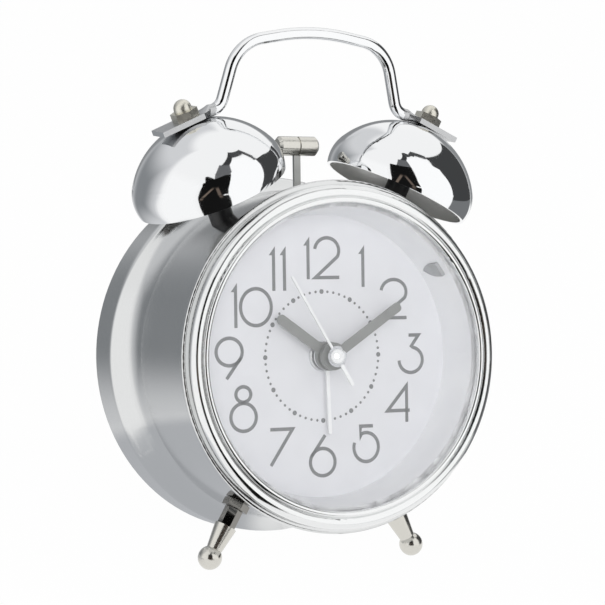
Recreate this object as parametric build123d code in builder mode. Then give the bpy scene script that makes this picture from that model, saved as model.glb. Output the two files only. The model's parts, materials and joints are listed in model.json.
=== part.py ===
"""Twin-bell table alarm clock, built as separate pieces in millimetres.

The clock is drawn upright first: X to the right as the dial is read, Y from the dial
to the back, Z up, with the drum's axis along Y. At the end every piece is leaned back
together, until the two ball feet and the rear band's lower edge share one table plane.
"""

import os
from math import acos, asin, atan2, cos, degrees, hypot, pi, radians, sin, sqrt

from build123d import *

# Case drum, a spun sheet shell with a rolled front flange and a rear band
drum_r = 49.4
drum_sheet = 0.8
lip_rise = 2.7
lip_front = 3.0
lip_thick = 2.0
lip_round = 0.7
band_rise = 5.2
band_front = 47.2
band_back = 57.5
band_round = 3.0
step_slope = 5.2
cove_r = 13.0
lip_cove_r = 1.8

# Bezel and glass
bezel_overhang = 1.2
bezel_bead = 1.5
bezel_groove_width = 2.0
bezel_inner_bead = 1.9
bezel_crown = 1.1
bezel_groove_depth = 0.9
bezel_skirt = 5.0
bezel_skirt_gap = 0.03
glass_seat = 1.0
glass_front = 0.9
glass_thick = 1.5
glass_gap = 0.1

# Dial, its pale wall ring and the night light in the wall
dial_front = 15.5
dial_thick = 0.8
dial_edge_gap = 1.4
dial_flange = 5.1
ring_setback = 1.1
ring_wall = 1.2
ring_flange = 1.2
window_angle = 54.0
window_width = 4.6
window_front = 4.8
window_tip = 14.0
window_round = 6.0
window_bow_share = 0.78
window_set = 0.5
window_thick = 1.6
window_gap = 0.05
led_size = 3.2
led_thick = 1.4
dial_screw_inset = 1.9
dial_screw_count = 3
dial_screw_shank_r = 0.8
dial_screw_head_r = 1.5
dial_screw_head = 1.0

# Hands, measured from the dial's face towards the glass
hand_sheet = 0.5
hub_height = 1.5
alarm_hub = 1.2
alarm_lift = 1.8
hour_lift = 3.3
minute_lift = 5.9
second_lift = 8.7
hour_length = 20.8
hour_width = 3.1
hour_hub_r = 4.3
minute_length = 27.2
minute_width = 2.9
minute_hub_r = 4.1
second_length = 28.0
second_tail = 10.2
second_width = 0.7
second_tail_width = 1.1
second_tube_r = 1.2
second_tube = 0.9
second_cap_r = 3.15
second_cap_height = 2.3
alarm_length = 23.2
alarm_width = 1.1
alarm_hub_r = 3.9
hour_angle = 304.7
minute_angle = 57.0
second_angle = 328.3
alarm_angle = 178.0

# Coaxial tubes at the dial's centre, from the inside out
running_gap = 0.05
second_arbor_r = 0.5
cannon_r = 1.1
hour_tube_r = 1.7
alarm_tube_r = 2.3
bush_r = 3.0
nut_r = 4.6
nut_thick = 1.2

# Movement box and the depths of its wheels
movement_half = 26.0
plate_thick = 1.5
box_wall = 1.2
box_back = 30.8
box_corner = 3.0
wheel_thick = 0.8
alarm_level = 18.2
hour_level = 19.6
motion_level = 21.0
bridge_level = 22.2
bridge_thick = 0.6
centre_level = 23.4
third_level = 25.0
second_level = 26.6
rotor_level = 28.0
bridge_right = 15.5
bridge_low = -20.0
bridge_high = 19.5
bridge_peg_z = 14.0
half_pitch_x = 8.0
peg_r = 1.3
pivot_r = 0.4
pivot_depth = 0.7
movement_screw_r = 0.9
movement_screw_head_r = 1.7
movement_screw_head = 1.0
movement_boss_r = 2.0
movement_screw_inset = 3.6

# Wheels: teeth and modules
motion_module = 0.42
cannon_teeth = 16
motion_teeth = 48
motion_pinion_teeth = 12
hour_teeth = 48
alarm_teeth = 48
alarm_pinion_teeth = 16
arbor_rise = 6.96
third_module = 0.28
second_pinion_teeth = 8
third_teeth = 60
third_pinion_teeth = 8
centre_teeth = 64
second_module = 0.25
intermediate_pinion_teeth = 10
second_teeth = 60
rotor_pinion_teeth = 8
intermediate_teeth = 40
intermediate_angle = -30.0
rotor_angle = -60.0
addendum_share = 0.85
dedendum_share = 1.25
tooth_root_share = 0.21
tooth_tip_share = 0.10
rotor_magnet_r = 2.4
rotor_magnet = 1.4

# Drive coil, stator and circuit board inside the movement
stator_thick = 0.8
stator_gap = 0.5
stator_arm = 7.4
stator_left = 6.9
core_x = 20.6
core_width = 2.4
coil_r = 3.4
coil_cheek_r = 3.8
coil_cheek = 0.8
coil_low = -5.0
coil_high = 12.5
board_width = 9.0
board_height = 25.0
board_left = 24.4
board_low = -19.5
board_depth = 26.4
board_thick = 1.0
chip_size = 5.0
chip_thick = 1.2

# Setting arbors and knobs at the back
setting_arbor_r = 1.2
knob_r = 6.0
knob_length = 6.0
knob_gap = 0.8
knob_grip = 0.5
knob_grip_count = 18
knob_grip_r = 0.55
knob_bore_share = 0.7
cover_hole_gap = 0.3

# Back cover, battery bay and door
cover_thick = 2.0
cover_back = 56.5
cover_gap = 0.15
cover_rim = 4.0
bay_width = 52.0
bay_height = 30.0
bay_low = -36.0
bay_depth = 15.0
bay_wall = 1.2
door_gap = 0.3
door_thick = 1.2
door_ridge = 0.9
door_leg = 4.0
door_ledge = 1.5
door_tab = 8.0
door_tab_height = 2.2
contact_thick = 0.4
contact_width = 9.0
contact_reach = 12.0
contact_bump_r = 2.0
contact_bump = 1.0
cell_pitch = 15.0
cover_screw_angles = (60.0, 180.0, 300.0)
cover_screw_r = 1.25
cover_screw_head_r = 1.9
cover_screw_head = 0.9

# Alarm switch and light button on the back cover
switch_x = 27.0
switch_z = 20.0
switch_travel = 4.0
switch_thumb = 4.0
switch_thumb_rise = 1.6
switch_base = 8.0
switch_base_height = 6.0
switch_base_thick = 1.2
switch_gap = 0.3
switch_wall = 1.2
switch_depth = 5.0
button_r = 3.4
button_flange_r = 4.6
button_flange = 1.2
button_rise = 1.6
button_travel = 1.0
button_depth = 6.0
button_wall = 1.2
stem_r = 1.2
stem_entry = 0.3
push_half = 3.0
push_height = 2.2

# Bells, their posts and the nuts on top
bell_x = 31.2
bell_y = 24.1
bell_z = 49.1
bell_tilt = 24.3
bell_lean = 7.5
bell_belly_r = 23.3
bell_belly_height = 3.6
bell_shoulder_r = 11.3
bell_height = 22.0
bell_sheet = 0.9
post_r = 2.0
post_inside = 15.6
spacer_r = 3.6
inner_nut_flats = 7.0
inner_nut_thick = 2.2
inner_nut_seat = 11.9
acorn_flats = 7.2
acorn_hex = 2.4
acorn_neck = 0.7
acorn_dome_r = 2.7
acorn_thread = 3.5

# Carrying handle, a round rod flattened into a tab at each end
rod_r = 1.8
tab_thick = 1.6
tab_width = 8.0
tab_inner = 4.3
tab_outer = 10.0
rod_end = 7.4
rod_end_lift = 0.8
knee_reach = 11.1
knee_lift = -0.2
handle_rise = 48.6
shoulder_x = 25.2
shoulder_rise = 44.1
crown_bend_r = 66.0
shoulder_bend_r = 12.5
knee_bend_r = 4.5

# Hammer between the bells, and its drive
hammer_y = 29.5
hammer_pivot_z = 43.0
hammer_head_z = 63.2
hammer_head_r = 2.95
hammer_head_length = 13.4
hammer_chamfer = 0.8
hammer_groove = 0.5
hammer_groove_depth = 0.35
hammer_strip = 2.2
hammer_sheet = 1.0
hammer_hub_r = 3.0
hammer_fork_width = 6.2
hammer_fork_slot = 2.2
hammer_fork_low = 28.6
hammer_fork_top = 38.0
hammer_slot_width = 6.4
hammer_slot_length = 4.0
pivot_pin_r = 1.0
pivot_collar_r = 1.9
clip_r = 2.2
clip_thick = 0.5
clip_gap = 0.2
motor_z = 32.0
motor_r = 7.0
motor_length = 17.0
motor_nose_r = 3.0
motor_nose = 1.0
motor_shaft_r = 0.95
motor_shaft_inside = 8.0
crank_r = 3.8
crank_thick = 1.4
crank_throw = 2.5
crank_pin_r = 0.8
crank_front = 31.0
frame_front = 33.0
frame_sheet = 1.2
frame_half_width = 19.0
frame_low = 23.5
frame_high = 46.0
frame_post_x = 15.0
frame_post_z = 34.0
frame_post_r = 3.0
frame_screw_r = 1.0
frame_screw_head_r = 2.0
frame_screw_head = 1.3
frame_screw_reach = 6.0

# Feet: a ball on a cone on a threaded stud, with a hex nut outside and inside the drum
foot_y = 22.7
foot_angle = 30.4
foot_ball_r = 3.6
foot_ball_reach = 68.0
foot_neck_r = 2.35
foot_cone_r = 3.4
foot_shank = 5.7
foot_stud_r = 1.95
foot_hex_flats = 4.8
foot_stud_end = 43.5
foot_nut_flats = 7.0
foot_nut_thick = 2.3
foot_nut_gap = 0.1

# One overrun for every cut that passes right through
overrun = 2.0

# Turns in degrees
quarter_turn = 90.0
half_turn = 180.0

# Radii that follow the drum, from its wall inwards to the dial's sight
drum_bore_r = drum_r - drum_sheet
lip_r = drum_r + lip_rise
band_r = drum_r + band_rise
bezel_r = drum_r + bezel_overhang
bezel_step_r = bezel_r - bezel_bead
bezel_groove_r = bezel_step_r - bezel_groove_width
bezel_sight_r = bezel_groove_r - bezel_inner_bead
bezel_rebate_r = bezel_sight_r + glass_seat
dial_r = drum_bore_r - dial_edge_gap
dial_sight_r = dial_r - dial_flange
ring_front_r = bezel_sight_r - ring_setback
dial_screw_r = dial_r - dial_screw_inset
pieces = {}


def at_depth(depth):
    """Sketch plane facing the front at a depth behind the bezel, with local axes X and Z."""
    return Plane.XZ.offset(-depth)


def keep(name, builder):
    """Label a finished piece and put it on the list of pieces to export."""
    builder.part.label = name
    pieces[name] = builder.part


def clock_point(angle, radius):
    """Point on the dial at an angle clockwise from twelve."""
    return (radius * sin(radians(angle)), radius * cos(radians(angle)))


def gear_points(teeth, module, turn, centre):
    """Corners of a toothed wheel whose first tooth points along turn, in degrees from +X."""
    pitch_r = teeth * module / 2
    tip_r = pitch_r + addendum_share * module
    root_r = pitch_r - dedendum_share * module
    step = 2 * pi / teeth
    corners = []
    for tooth in range(teeth):
        middle = radians(turn) + tooth * step
        for radius, share in (
            (root_r, -tooth_root_share),
            (tip_r, -tooth_tip_share),
            (tip_r, tooth_tip_share),
            (root_r, tooth_root_share),
        ):
            angle = middle + share * step
            corners.append((centre[0] + radius * cos(angle), centre[1] + radius * sin(angle)))
    return corners


def gear(level, teeth, module, turn, centre, thick=wheel_thick):
    """Extrude a toothed wheel from its front face back, inside the part being built."""
    with BuildSketch(at_depth(level + thick)) as outline:
        Polygon(*gear_points(teeth, module, turn, centre), align=None)
    extrude(outline.sketch, amount=thick)


def disc(front, back, radius, centre=(0, 0), mode=Mode.ADD):
    """Round disc or hole about an axis along Y, inside the part being built."""
    with BuildSketch(at_depth(back)) as outline:
        with Locations(centre):
            Circle(radius)
    extrude(outline.sketch, amount=back - front, mode=mode)


def block(front, back, low, high, mode=Mode.ADD):
    """Rectangular block between two corners in X and Z, inside the part being built."""
    with BuildSketch(at_depth(back)) as outline:
        with Locations(((low[0] + high[0]) / 2, (low[1] + high[1]) / 2)):
            Rectangle(high[0] - low[0], high[1] - low[1])
    extrude(outline.sketch, amount=back - front, mode=mode)


def axis_section(origin, axis, across=(0, 1, 0)):
    """Plane holding a turning axis: local X along a direction across it, local Y along the axis."""
    return Plane(origin=origin, x_dir=across, z_dir=Vector(*across).cross(Vector(*axis)))


# The bells and the handle stand in one plane that leans forward over the drum
bell_across = (0, cos(radians(bell_lean)), sin(radians(bell_lean)))
bell_up = (0, -sin(radians(bell_lean)), cos(radians(bell_lean)))
bell_wall = Plane(origin=(0, bell_y, bell_z), x_dir=(1, 0, 0), z_dir=tuple(-part for part in bell_across))


def bell_foot(side):
    """Middle of a bell's rim."""
    return (side * bell_x, bell_y, bell_z)


def bell_axis(side):
    """Direction of a bell's axis, tilted outwards to its side in the leaning plane."""
    tilt = radians(bell_tilt)
    return (side * sin(tilt), cos(tilt) * bell_up[1], cos(tilt) * bell_up[2])


def bell_plane(side, height):
    """Plane across a bell's axis at a height above the rim."""
    rim = Plane(origin=bell_foot(side), x_dir=bell_across, z_dir=bell_axis(side))
    return rim.offset(height)


# Case drum: flange, drum, step and band in one sheet, open at both ends
step_front = band_front - step_slope
step_back = band_front + drum_sheet
lip_back = lip_front + lip_thick
band_bore_r = band_r - drum_sheet
with BuildPart() as case_drum:
    with BuildSketch(Plane.XY) as shell:
        with BuildLine():
            Polyline(
                (drum_bore_r, lip_front),
                (lip_r, lip_front),
                (lip_r, lip_back),
                (drum_r, lip_back),
                (drum_r, step_front),
                (band_r, band_front),
                (band_r, band_back),
                (band_bore_r, band_back),
                (band_bore_r, step_back),
                (drum_bore_r, step_back),
                close=True,
            )
        make_face()
        outer = shell.vertices().group_by(Axis.X)
        fillet(outer[-1].sort_by(Axis.Y)[0], band_round)
        fillet(shell.vertices().sort_by_distance((drum_r, step_front))[0], cove_r)
        fillet(shell.vertices().sort_by_distance((drum_r, lip_back))[0], lip_cove_r)
        fillet(shell.vertices().sort_by_distance((lip_r, lip_front))[0], lip_round)
        fillet(shell.vertices().sort_by_distance((lip_r, lip_back))[0], lip_round)
    revolve(axis=Axis.Y)
    # Slot for the hammer's strip at the top
    with BuildSketch(Plane.XY.offset(drum_bore_r - overrun)):
        with Locations((0, hammer_y)):
            Rectangle(hammer_slot_width, hammer_slot_length)
    extrude(amount=overrun + drum_sheet + overrun, mode=Mode.SUBTRACT)
    # Holes for the bell posts and the feet
    for side in (-1, 1):
        with BuildSketch(bell_plane(side, 0)):
            Circle(post_r + running_gap)
        extrude(amount=-post_inside, mode=Mode.SUBTRACT)
        swing = radians(foot_angle)
        stud_line = Plane(origin=(0, foot_y, 0), x_dir=(0, 1, 0), z_dir=(side * sin(swing), 0, -cos(swing)))
        with BuildSketch(stud_line.offset(foot_stud_end)):
            Circle(foot_stud_r + running_gap)
        extrude(amount=drum_r - foot_stud_end + overrun, mode=Mode.SUBTRACT)
    # Blind threaded holes for the cover screws in the step, as deep as the screws
    for angle in cover_screw_angles:
        disc(
            band_front,
            step_back + overrun,
            cover_screw_r,
            clock_point(angle, (drum_r + band_bore_r) / 2),
            Mode.SUBTRACT,
        )
keep("case_drum", case_drum)

# Bezel: outer bead, step, groove and inner bead, with a skirt that plugs into the drum
skirt_r = drum_bore_r - bezel_skirt_gap
bezel_bulge = bezel_r - bezel_step_r
inner_bead_r = (bezel_groove_r + bezel_sight_r) / 2
with BuildPart() as bezel:
    with BuildSketch(Plane.XY):
        with BuildLine():
            Line((skirt_r, lip_front), (bezel_r - bezel_bulge / 2, lip_front))
            ThreePointArc(
                (bezel_r - bezel_bulge / 2, lip_front), (bezel_r, lip_front / 3), (bezel_step_r, -bezel_crown)
            )
            Line((bezel_step_r, -bezel_crown), (bezel_step_r, -bezel_crown + bezel_groove_depth / 3))
            ThreePointArc(
                (bezel_step_r, -bezel_crown + bezel_groove_depth / 3),
                ((bezel_step_r + bezel_groove_r) / 2, -bezel_crown + bezel_groove_depth / 3),
                (bezel_groove_r, -bezel_crown + bezel_groove_depth),
            )
            ThreePointArc(
                (bezel_groove_r, -bezel_crown + bezel_groove_depth),
                (inner_bead_r, -bezel_crown),
                (bezel_sight_r, 0),
            )
            Polyline(
                (bezel_sight_r, 0),
                (bezel_sight_r, glass_front),
                (bezel_rebate_r, glass_front),
                (bezel_rebate_r, lip_front + bezel_skirt),
                (skirt_r, lip_front + bezel_skirt),
                (skirt_r, lip_front),
            )
        make_face()
    revolve(axis=Axis.Y)
keep("bezel", bezel)

# Glass in the bezel's rebate
glass_back = glass_front + glass_thick
with BuildPart() as glass:
    disc(glass_front, glass_back, bezel_rebate_r - glass_gap)
keep("glass", glass)

def window_shape(plane, gap, depth, mode=Mode.ADD):
    """Night-light window, straight towards the glass and pointed towards the dial, less a gap all round."""
    with BuildSketch(plane) as outline:
        half = window_width / 2 - gap
        reach = window_tip - window_front - gap
        with BuildLine():
            Polyline((-half, reach - window_round), (-half, gap), (half, gap), (half, reach - window_round))
            ThreePointArc(
                (half, reach - window_round),
                (half * window_bow_share, reach - window_round / 2),
                (0, reach),
            )
            ThreePointArc(
                (0, reach),
                (-half * window_bow_share, reach - window_round / 2),
                (-half, reach - window_round),
            )
        make_face()
    extrude(outline.sketch, amount=depth, mode=mode)


# Pale wall ring between the glass and the dial, with an opening for the night light
with BuildPart() as dial_ring:
    with BuildSketch(Plane.XY):
        with BuildLine():
            Polyline(
                (ring_front_r, glass_back),
                (bezel_rebate_r - glass_gap, glass_back),
                (bezel_rebate_r - glass_gap, glass_back + ring_flange),
                (ring_front_r + ring_wall, glass_back + ring_flange),
                (dial_sight_r + ring_wall, dial_front - ring_flange),
                (dial_r, dial_front - ring_flange),
                (dial_r, dial_front),
                (dial_sight_r, dial_front),
                close=True,
            )
        make_face()
    revolve(axis=Axis.Y)
    window_turn = radians(window_angle)
    window_out = (sin(window_turn), 0, cos(window_turn))
    window_along = (cos(window_turn), 0, -sin(window_turn))
    window_face_r = dial_sight_r + window_set
    window_plane = Plane(
        origin=(window_face_r * sin(window_turn), window_front, window_face_r * cos(window_turn)),
        x_dir=window_along,
        z_dir=window_out,
    )
    window_shape(window_plane.offset(-overrun), 0, overrun + window_thick + overrun, Mode.SUBTRACT)
    for index in range(dial_screw_count):
        spot = clock_point(index * 360 / dial_screw_count, dial_screw_r)
        disc(dial_front - ring_flange, dial_front, dial_screw_shank_r, spot, Mode.SUBTRACT)
keep("dial_ring", dial_ring)

# Translucent light window in the wall, and the small lamp behind it
with BuildPart() as light_window:
    window_shape(window_plane, window_gap, window_thick)
keep("light_window", light_window)
with BuildPart() as night_lamp:
    with BuildSketch(window_plane.offset(window_thick)):
        with Locations((0, (window_tip - window_front) / 2)):
            Rectangle(led_size, led_size)
    extrude(amount=led_thick)
    fillet(night_lamp.edges().filter_by(lambda edge: edge.length < led_thick * 1.01), led_thick / 3)
keep("night_lamp", night_lamp)

# Dial plate and the screws that hold it to the ring
dial_back = dial_front + dial_thick
with BuildPart() as dial:
    disc(dial_front, dial_back, dial_r)
    disc(dial_front, dial_back, bush_r + running_gap, mode=Mode.SUBTRACT)
    for index in range(dial_screw_count):
        spot = clock_point(index * 360 / dial_screw_count, dial_screw_r)
        disc(dial_front, dial_back, dial_screw_shank_r, spot, Mode.SUBTRACT)
keep("dial", dial)
with BuildPart() as dial_screws:
    for index in range(dial_screw_count):
        spot = clock_point(index * 360 / dial_screw_count, dial_screw_r)
        disc(dial_front - ring_flange, dial_back, dial_screw_shank_r, spot)
        disc(dial_back, dial_back + dial_screw_head, dial_screw_head_r, spot)
keep("dial_screws", dial_screws)


def hand_bar(front, width, length, angle, tail=0, tip_share=0.42):
    """Flat round-ended bar of a hand, from a tail past the centre to its tip."""
    with BuildSketch(at_depth(front + hand_sheet)) as outline:
        with Locations(Location((0, 0, 0), (0, 0, -angle))):
            with Locations((0, (length - tail) / 2)):
                RectangleRounded(width, length + tail, width * tip_share)
    extrude(outline.sketch, amount=hand_sheet)


# Hands: each has a round hub pressed on its tube
alarm_front = dial_front - alarm_lift - alarm_hub
hour_front = dial_front - hour_lift - hub_height
minute_front = dial_front - minute_lift - hub_height
second_front = dial_front - second_lift - hand_sheet
second_back = second_front + hand_sheet
with BuildPart() as alarm_hand:
    hand_bar(alarm_front, alarm_width, alarm_length, alarm_angle)
    disc(alarm_front, dial_front - alarm_lift, alarm_hub_r)
    disc(alarm_front, dial_front - alarm_lift, alarm_tube_r, mode=Mode.SUBTRACT)
keep("alarm_hand", alarm_hand)
with BuildPart() as hour_hand:
    hand_bar(hour_front, hour_width, hour_length, hour_angle)
    disc(hour_front, dial_front - hour_lift, hour_hub_r)
    disc(hour_front, dial_front - hour_lift, hour_tube_r, mode=Mode.SUBTRACT)
keep("hour_hand", hour_hand)
with BuildPart() as minute_hand:
    hand_bar(minute_front, minute_width, minute_length, minute_angle)
    disc(minute_front, dial_front - minute_lift, minute_hub_r)
    disc(minute_front, dial_front - minute_lift, cannon_r, mode=Mode.SUBTRACT)
keep("minute_hand", minute_hand)
with BuildPart() as second_hand:
    hand_bar(second_front, second_width, second_length, second_angle)
    hand_bar(second_front, second_tail_width, 0, second_angle, second_tail)
    disc(second_front, second_back, second_tube_r)
    disc(second_back, second_back + second_tube, second_tube_r)
    disc(second_back, second_back + second_tube, second_arbor_r, mode=Mode.SUBTRACT)
keep("second_hand", second_hand)

# Domed cap that carries the second hand on its arbor
cap_sphere_r = (second_cap_r**2 + second_cap_height**2) / (2 * second_cap_height)
cap_back = second_front
with BuildPart() as second_cap:
    with BuildSketch(Plane.XY):
        with BuildLine():
            Line((0, cap_back), (second_cap_r, cap_back))
            RadiusArc((second_cap_r, cap_back), (0, cap_back - second_cap_height), cap_sphere_r)
            Line((0, cap_back - second_cap_height), (0, cap_back))
        make_face()
    revolve(axis=Axis.Y)
keep("second_cap", second_cap)

# Movement: places of its arbors, worked out from the wheels
set_distance = (cannon_teeth + motion_teeth) * motion_module / 2
set_x = sqrt(set_distance**2 - arbor_rise**2)
set_centre = (-set_x, arbor_rise)
alarm_centre = (set_x, arbor_rise)
hour_module = 2 * set_distance / (motion_pinion_teeth + hour_teeth)
alarm_module = 2 * set_distance / (alarm_pinion_teeth + alarm_teeth)
third_distance = (second_pinion_teeth + third_teeth) * third_module / 2
centre_module = 2 * third_distance / (third_pinion_teeth + centre_teeth)
third_centre = (0, -third_distance)
inter_distance = (intermediate_pinion_teeth + second_teeth) * second_module / 2
inter_turn = radians(intermediate_angle)
inter_centre = (inter_distance * cos(inter_turn), inter_distance * sin(inter_turn))
rotor_distance = (rotor_pinion_teeth + intermediate_teeth) * second_module / 2
rotor_turn = radians(rotor_angle)
rotor_centre = (
    inter_centre[0] + rotor_distance * cos(rotor_turn),
    inter_centre[1] + rotor_distance * sin(rotor_turn),
)
set_angle = degrees(atan2(set_centre[1], set_centre[0]))
alarm_mesh = degrees(atan2(alarm_centre[1], alarm_centre[0]))
third_angle = -quarter_turn


def facing_gap(angle, teeth):
    """Turn of a wheel that shows a gap, not a tooth, back along the line from its partner."""
    return angle + half_turn + half_turn / teeth


# Front plate with the threaded bush that clamps the dial
plate_front = dial_back
plate_back = plate_front + plate_thick
bush_front = dial_front - nut_thick - (alarm_lift - nut_thick) / 2
screw_spot = movement_half - movement_screw_inset
corners = [(x * screw_spot, z * screw_spot) for x in (-1, 1) for z in (-1, 1)]
with BuildPart() as movement_front:
    with BuildSketch(at_depth(plate_back)):
        RectangleRounded(2 * movement_half, 2 * movement_half, box_corner)
    extrude(amount=plate_thick)
    disc(bush_front, plate_front, bush_r)
    disc(bush_front, plate_back, alarm_tube_r + running_gap, mode=Mode.SUBTRACT)
    for spot in (set_centre, alarm_centre):
        disc(plate_front, plate_back, setting_arbor_r + running_gap, spot, Mode.SUBTRACT)
    for spot in corners:
        disc(plate_back - plate_thick / 2, plate_back, movement_screw_r, spot, Mode.SUBTRACT)
keep("movement_front", movement_front)

# Round nut on the bush, in front of the dial
with BuildPart() as centre_nut:
    disc(dial_front - nut_thick, dial_front, nut_r)
    disc(dial_front - nut_thick, dial_front, bush_r, mode=Mode.SUBTRACT)
    chamfer(centre_nut.faces().sort_by(Axis.Y)[0].outer_wire().edges(), nut_thick / 4)
keep("centre_nut", centre_nut)

# Rear housing: box with bosses, pegs and pivot holes
box_floor = box_back - box_wall
bridge_back = bridge_level + bridge_thick
stator_front = centre_level + (wheel_thick - stator_thick) / 2
stator_back = stator_front + stator_thick
stator_low = rotor_centre[1] - stator_arm / 2
stator_high = rotor_centre[1] + stator_arm / 2
upper_arm_z = coil_high + stator_arm / 4
bridge_pegs = [
    (-bridge_right, bridge_peg_z),
    (peg_r, bridge_high - 2 * peg_r),
    (-half_pitch_x, bridge_low + 2 * peg_r),
]
board_right = -board_left + board_width
board_middle = -board_left + board_width / 2
board_pegs = [(board_middle, board_low + 2 * peg_r), (board_middle, board_low + board_height - 2 * peg_r)]
stator_pegs = [(core_x, rotor_centre[1]), (core_x, upper_arm_z)]
pivots = [(0, 0), third_centre, inter_centre, rotor_centre]
with BuildPart() as movement_rear:
    with BuildSketch(at_depth(box_back)):
        RectangleRounded(2 * movement_half, 2 * movement_half, box_corner)
    extrude(amount=box_back - plate_back)
    with BuildSketch(at_depth(box_floor)):
        RectangleRounded(
            2 * (movement_half - box_wall), 2 * (movement_half - box_wall), box_corner - box_wall
        )
    extrude(amount=box_floor - plate_back, mode=Mode.SUBTRACT)
    for spot in corners:
        disc(plate_back, box_floor, movement_boss_r, spot)
        disc(plate_back, box_back, movement_screw_r, spot, Mode.SUBTRACT)
    for spot in bridge_pegs:
        disc(bridge_back, box_floor, peg_r, spot)
    for spot in board_pegs:
        disc(board_depth + board_thick, box_floor, peg_r, spot)
    for spot in stator_pegs:
        disc(stator_back, box_floor, peg_r, spot)
    for spot in (set_centre, alarm_centre):
        disc(box_floor, box_back, setting_arbor_r + running_gap, spot, Mode.SUBTRACT)
    for spot in pivots:
        radius = second_arbor_r if spot == (0, 0) else pivot_r
        disc(box_floor, box_floor + pivot_depth, radius + running_gap, spot, Mode.SUBTRACT)
keep("movement_rear", movement_rear)

# Screws from behind through the housing into the front plate
with BuildPart() as movement_screws:
    for spot in corners:
        disc(plate_back - plate_thick / 2, box_back, movement_screw_r, spot)
        disc(box_back, box_back + movement_screw_head, movement_screw_head_r, spot)
keep("movement_screws", movement_screws)

# Bridge plate between the motion work and the running train
with BuildPart() as train_bridge:
    block(bridge_level, bridge_back, (-bridge_right - 2 * peg_r, bridge_low), (bridge_right, bridge_high))
    disc(bridge_level, bridge_back, cannon_r + running_gap, mode=Mode.SUBTRACT)
    for spot in (set_centre, alarm_centre):
        disc(bridge_level, bridge_back, setting_arbor_r + running_gap, spot, Mode.SUBTRACT)
    for spot in (third_centre, rotor_centre):
        disc(bridge_level, bridge_back, pivot_r + running_gap, spot, Mode.SUBTRACT)
keep("train_bridge", train_bridge)

# Alarm wheel and hour wheel on their tubes, and the cannon pinion of the minute hand
with BuildPart() as alarm_wheel:
    gear(alarm_level, alarm_teeth, alarm_module, alarm_mesh, (0, 0))
    disc(alarm_front, alarm_level, alarm_tube_r)
    disc(alarm_front, alarm_level + wheel_thick, hour_tube_r + running_gap, mode=Mode.SUBTRACT)
keep("alarm_wheel", alarm_wheel)
with BuildPart() as hour_wheel:
    gear(hour_level, hour_teeth, hour_module, set_angle, (0, 0))
    disc(hour_front, hour_level, hour_tube_r)
    disc(hour_front, hour_level + wheel_thick, cannon_r + running_gap, mode=Mode.SUBTRACT)
keep("hour_wheel", hour_wheel)
with BuildPart() as cannon_pinion:
    gear(motion_level, cannon_teeth, motion_module, set_angle, (0, 0))
    disc(minute_front, centre_level + wheel_thick, cannon_r)
    disc(minute_front, centre_level + wheel_thick, second_arbor_r + running_gap, mode=Mode.SUBTRACT)
keep("cannon_pinion", cannon_pinion)

# Motion wheel on the time-setting arbor, alarm pinion on the alarm-setting arbor
arbor_front = plate_front + plate_thick / 3
knob_front = cover_back + knob_gap
arbor_back = knob_front + knob_length * knob_bore_share
with BuildPart() as motion_wheel:
    gear(motion_level, motion_teeth, motion_module, facing_gap(set_angle, motion_teeth), set_centre)
    gear(
        hour_level,
        motion_pinion_teeth,
        hour_module,
        facing_gap(set_angle, motion_pinion_teeth),
        set_centre,
        motion_level - hour_level,
    )
    disc(arbor_front, arbor_back, setting_arbor_r, set_centre)
keep("motion_wheel", motion_wheel)
with BuildPart() as alarm_pinion:
    gear(
        alarm_level,
        alarm_pinion_teeth,
        alarm_module,
        facing_gap(alarm_mesh, alarm_pinion_teeth),
        alarm_centre,
    )
    disc(arbor_front, arbor_back, setting_arbor_r, alarm_centre)
keep("alarm_pinion", alarm_pinion)

# Running train: centre wheel, third wheel, second wheel, intermediate wheel and rotor
pivot_end = box_floor + pivot_depth - running_gap
bridge_pivot = bridge_level + running_gap
with BuildPart() as centre_wheel:
    gear(centre_level, centre_teeth, centre_module, third_angle, (0, 0))
    disc(centre_level, centre_level + wheel_thick, cannon_r + running_gap, mode=Mode.SUBTRACT)
keep("centre_wheel", centre_wheel)
with BuildPart() as third_wheel:
    gear(third_level, third_teeth, third_module, facing_gap(third_angle, third_teeth), third_centre)
    gear(
        centre_level,
        third_pinion_teeth,
        centre_module,
        facing_gap(third_angle, third_pinion_teeth),
        third_centre,
        third_level - centre_level,
    )
    disc(bridge_pivot, pivot_end, pivot_r, third_centre)
keep("third_wheel", third_wheel)
with BuildPart() as second_wheel:
    gear(second_level, second_teeth, second_module, intermediate_angle, (0, 0))
    gear(third_level, second_pinion_teeth, third_module, third_angle, (0, 0), second_level - third_level)
    disc(second_back, pivot_end, second_arbor_r)
keep("second_wheel", second_wheel)
with BuildPart() as intermediate_wheel:
    gear(
        second_level,
        intermediate_pinion_teeth,
        second_module,
        facing_gap(intermediate_angle, intermediate_pinion_teeth),
        inter_centre,
        rotor_level - second_level,
    )
    gear(rotor_level, intermediate_teeth, second_module, rotor_angle, inter_centre)
    disc(rotor_level, pivot_end, pivot_r, inter_centre)
keep("intermediate_wheel", intermediate_wheel)
with BuildPart() as rotor:
    gear(
        rotor_level,
        rotor_pinion_teeth,
        second_module,
        facing_gap(rotor_angle, rotor_pinion_teeth),
        rotor_centre,
    )
    disc(bridge_pivot, pivot_end, pivot_r, rotor_centre)
    magnet_front = stator_front - (rotor_magnet - stator_thick) / 2
    disc(magnet_front, magnet_front + rotor_magnet, rotor_magnet_r, rotor_centre)
keep("rotor", rotor)

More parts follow.
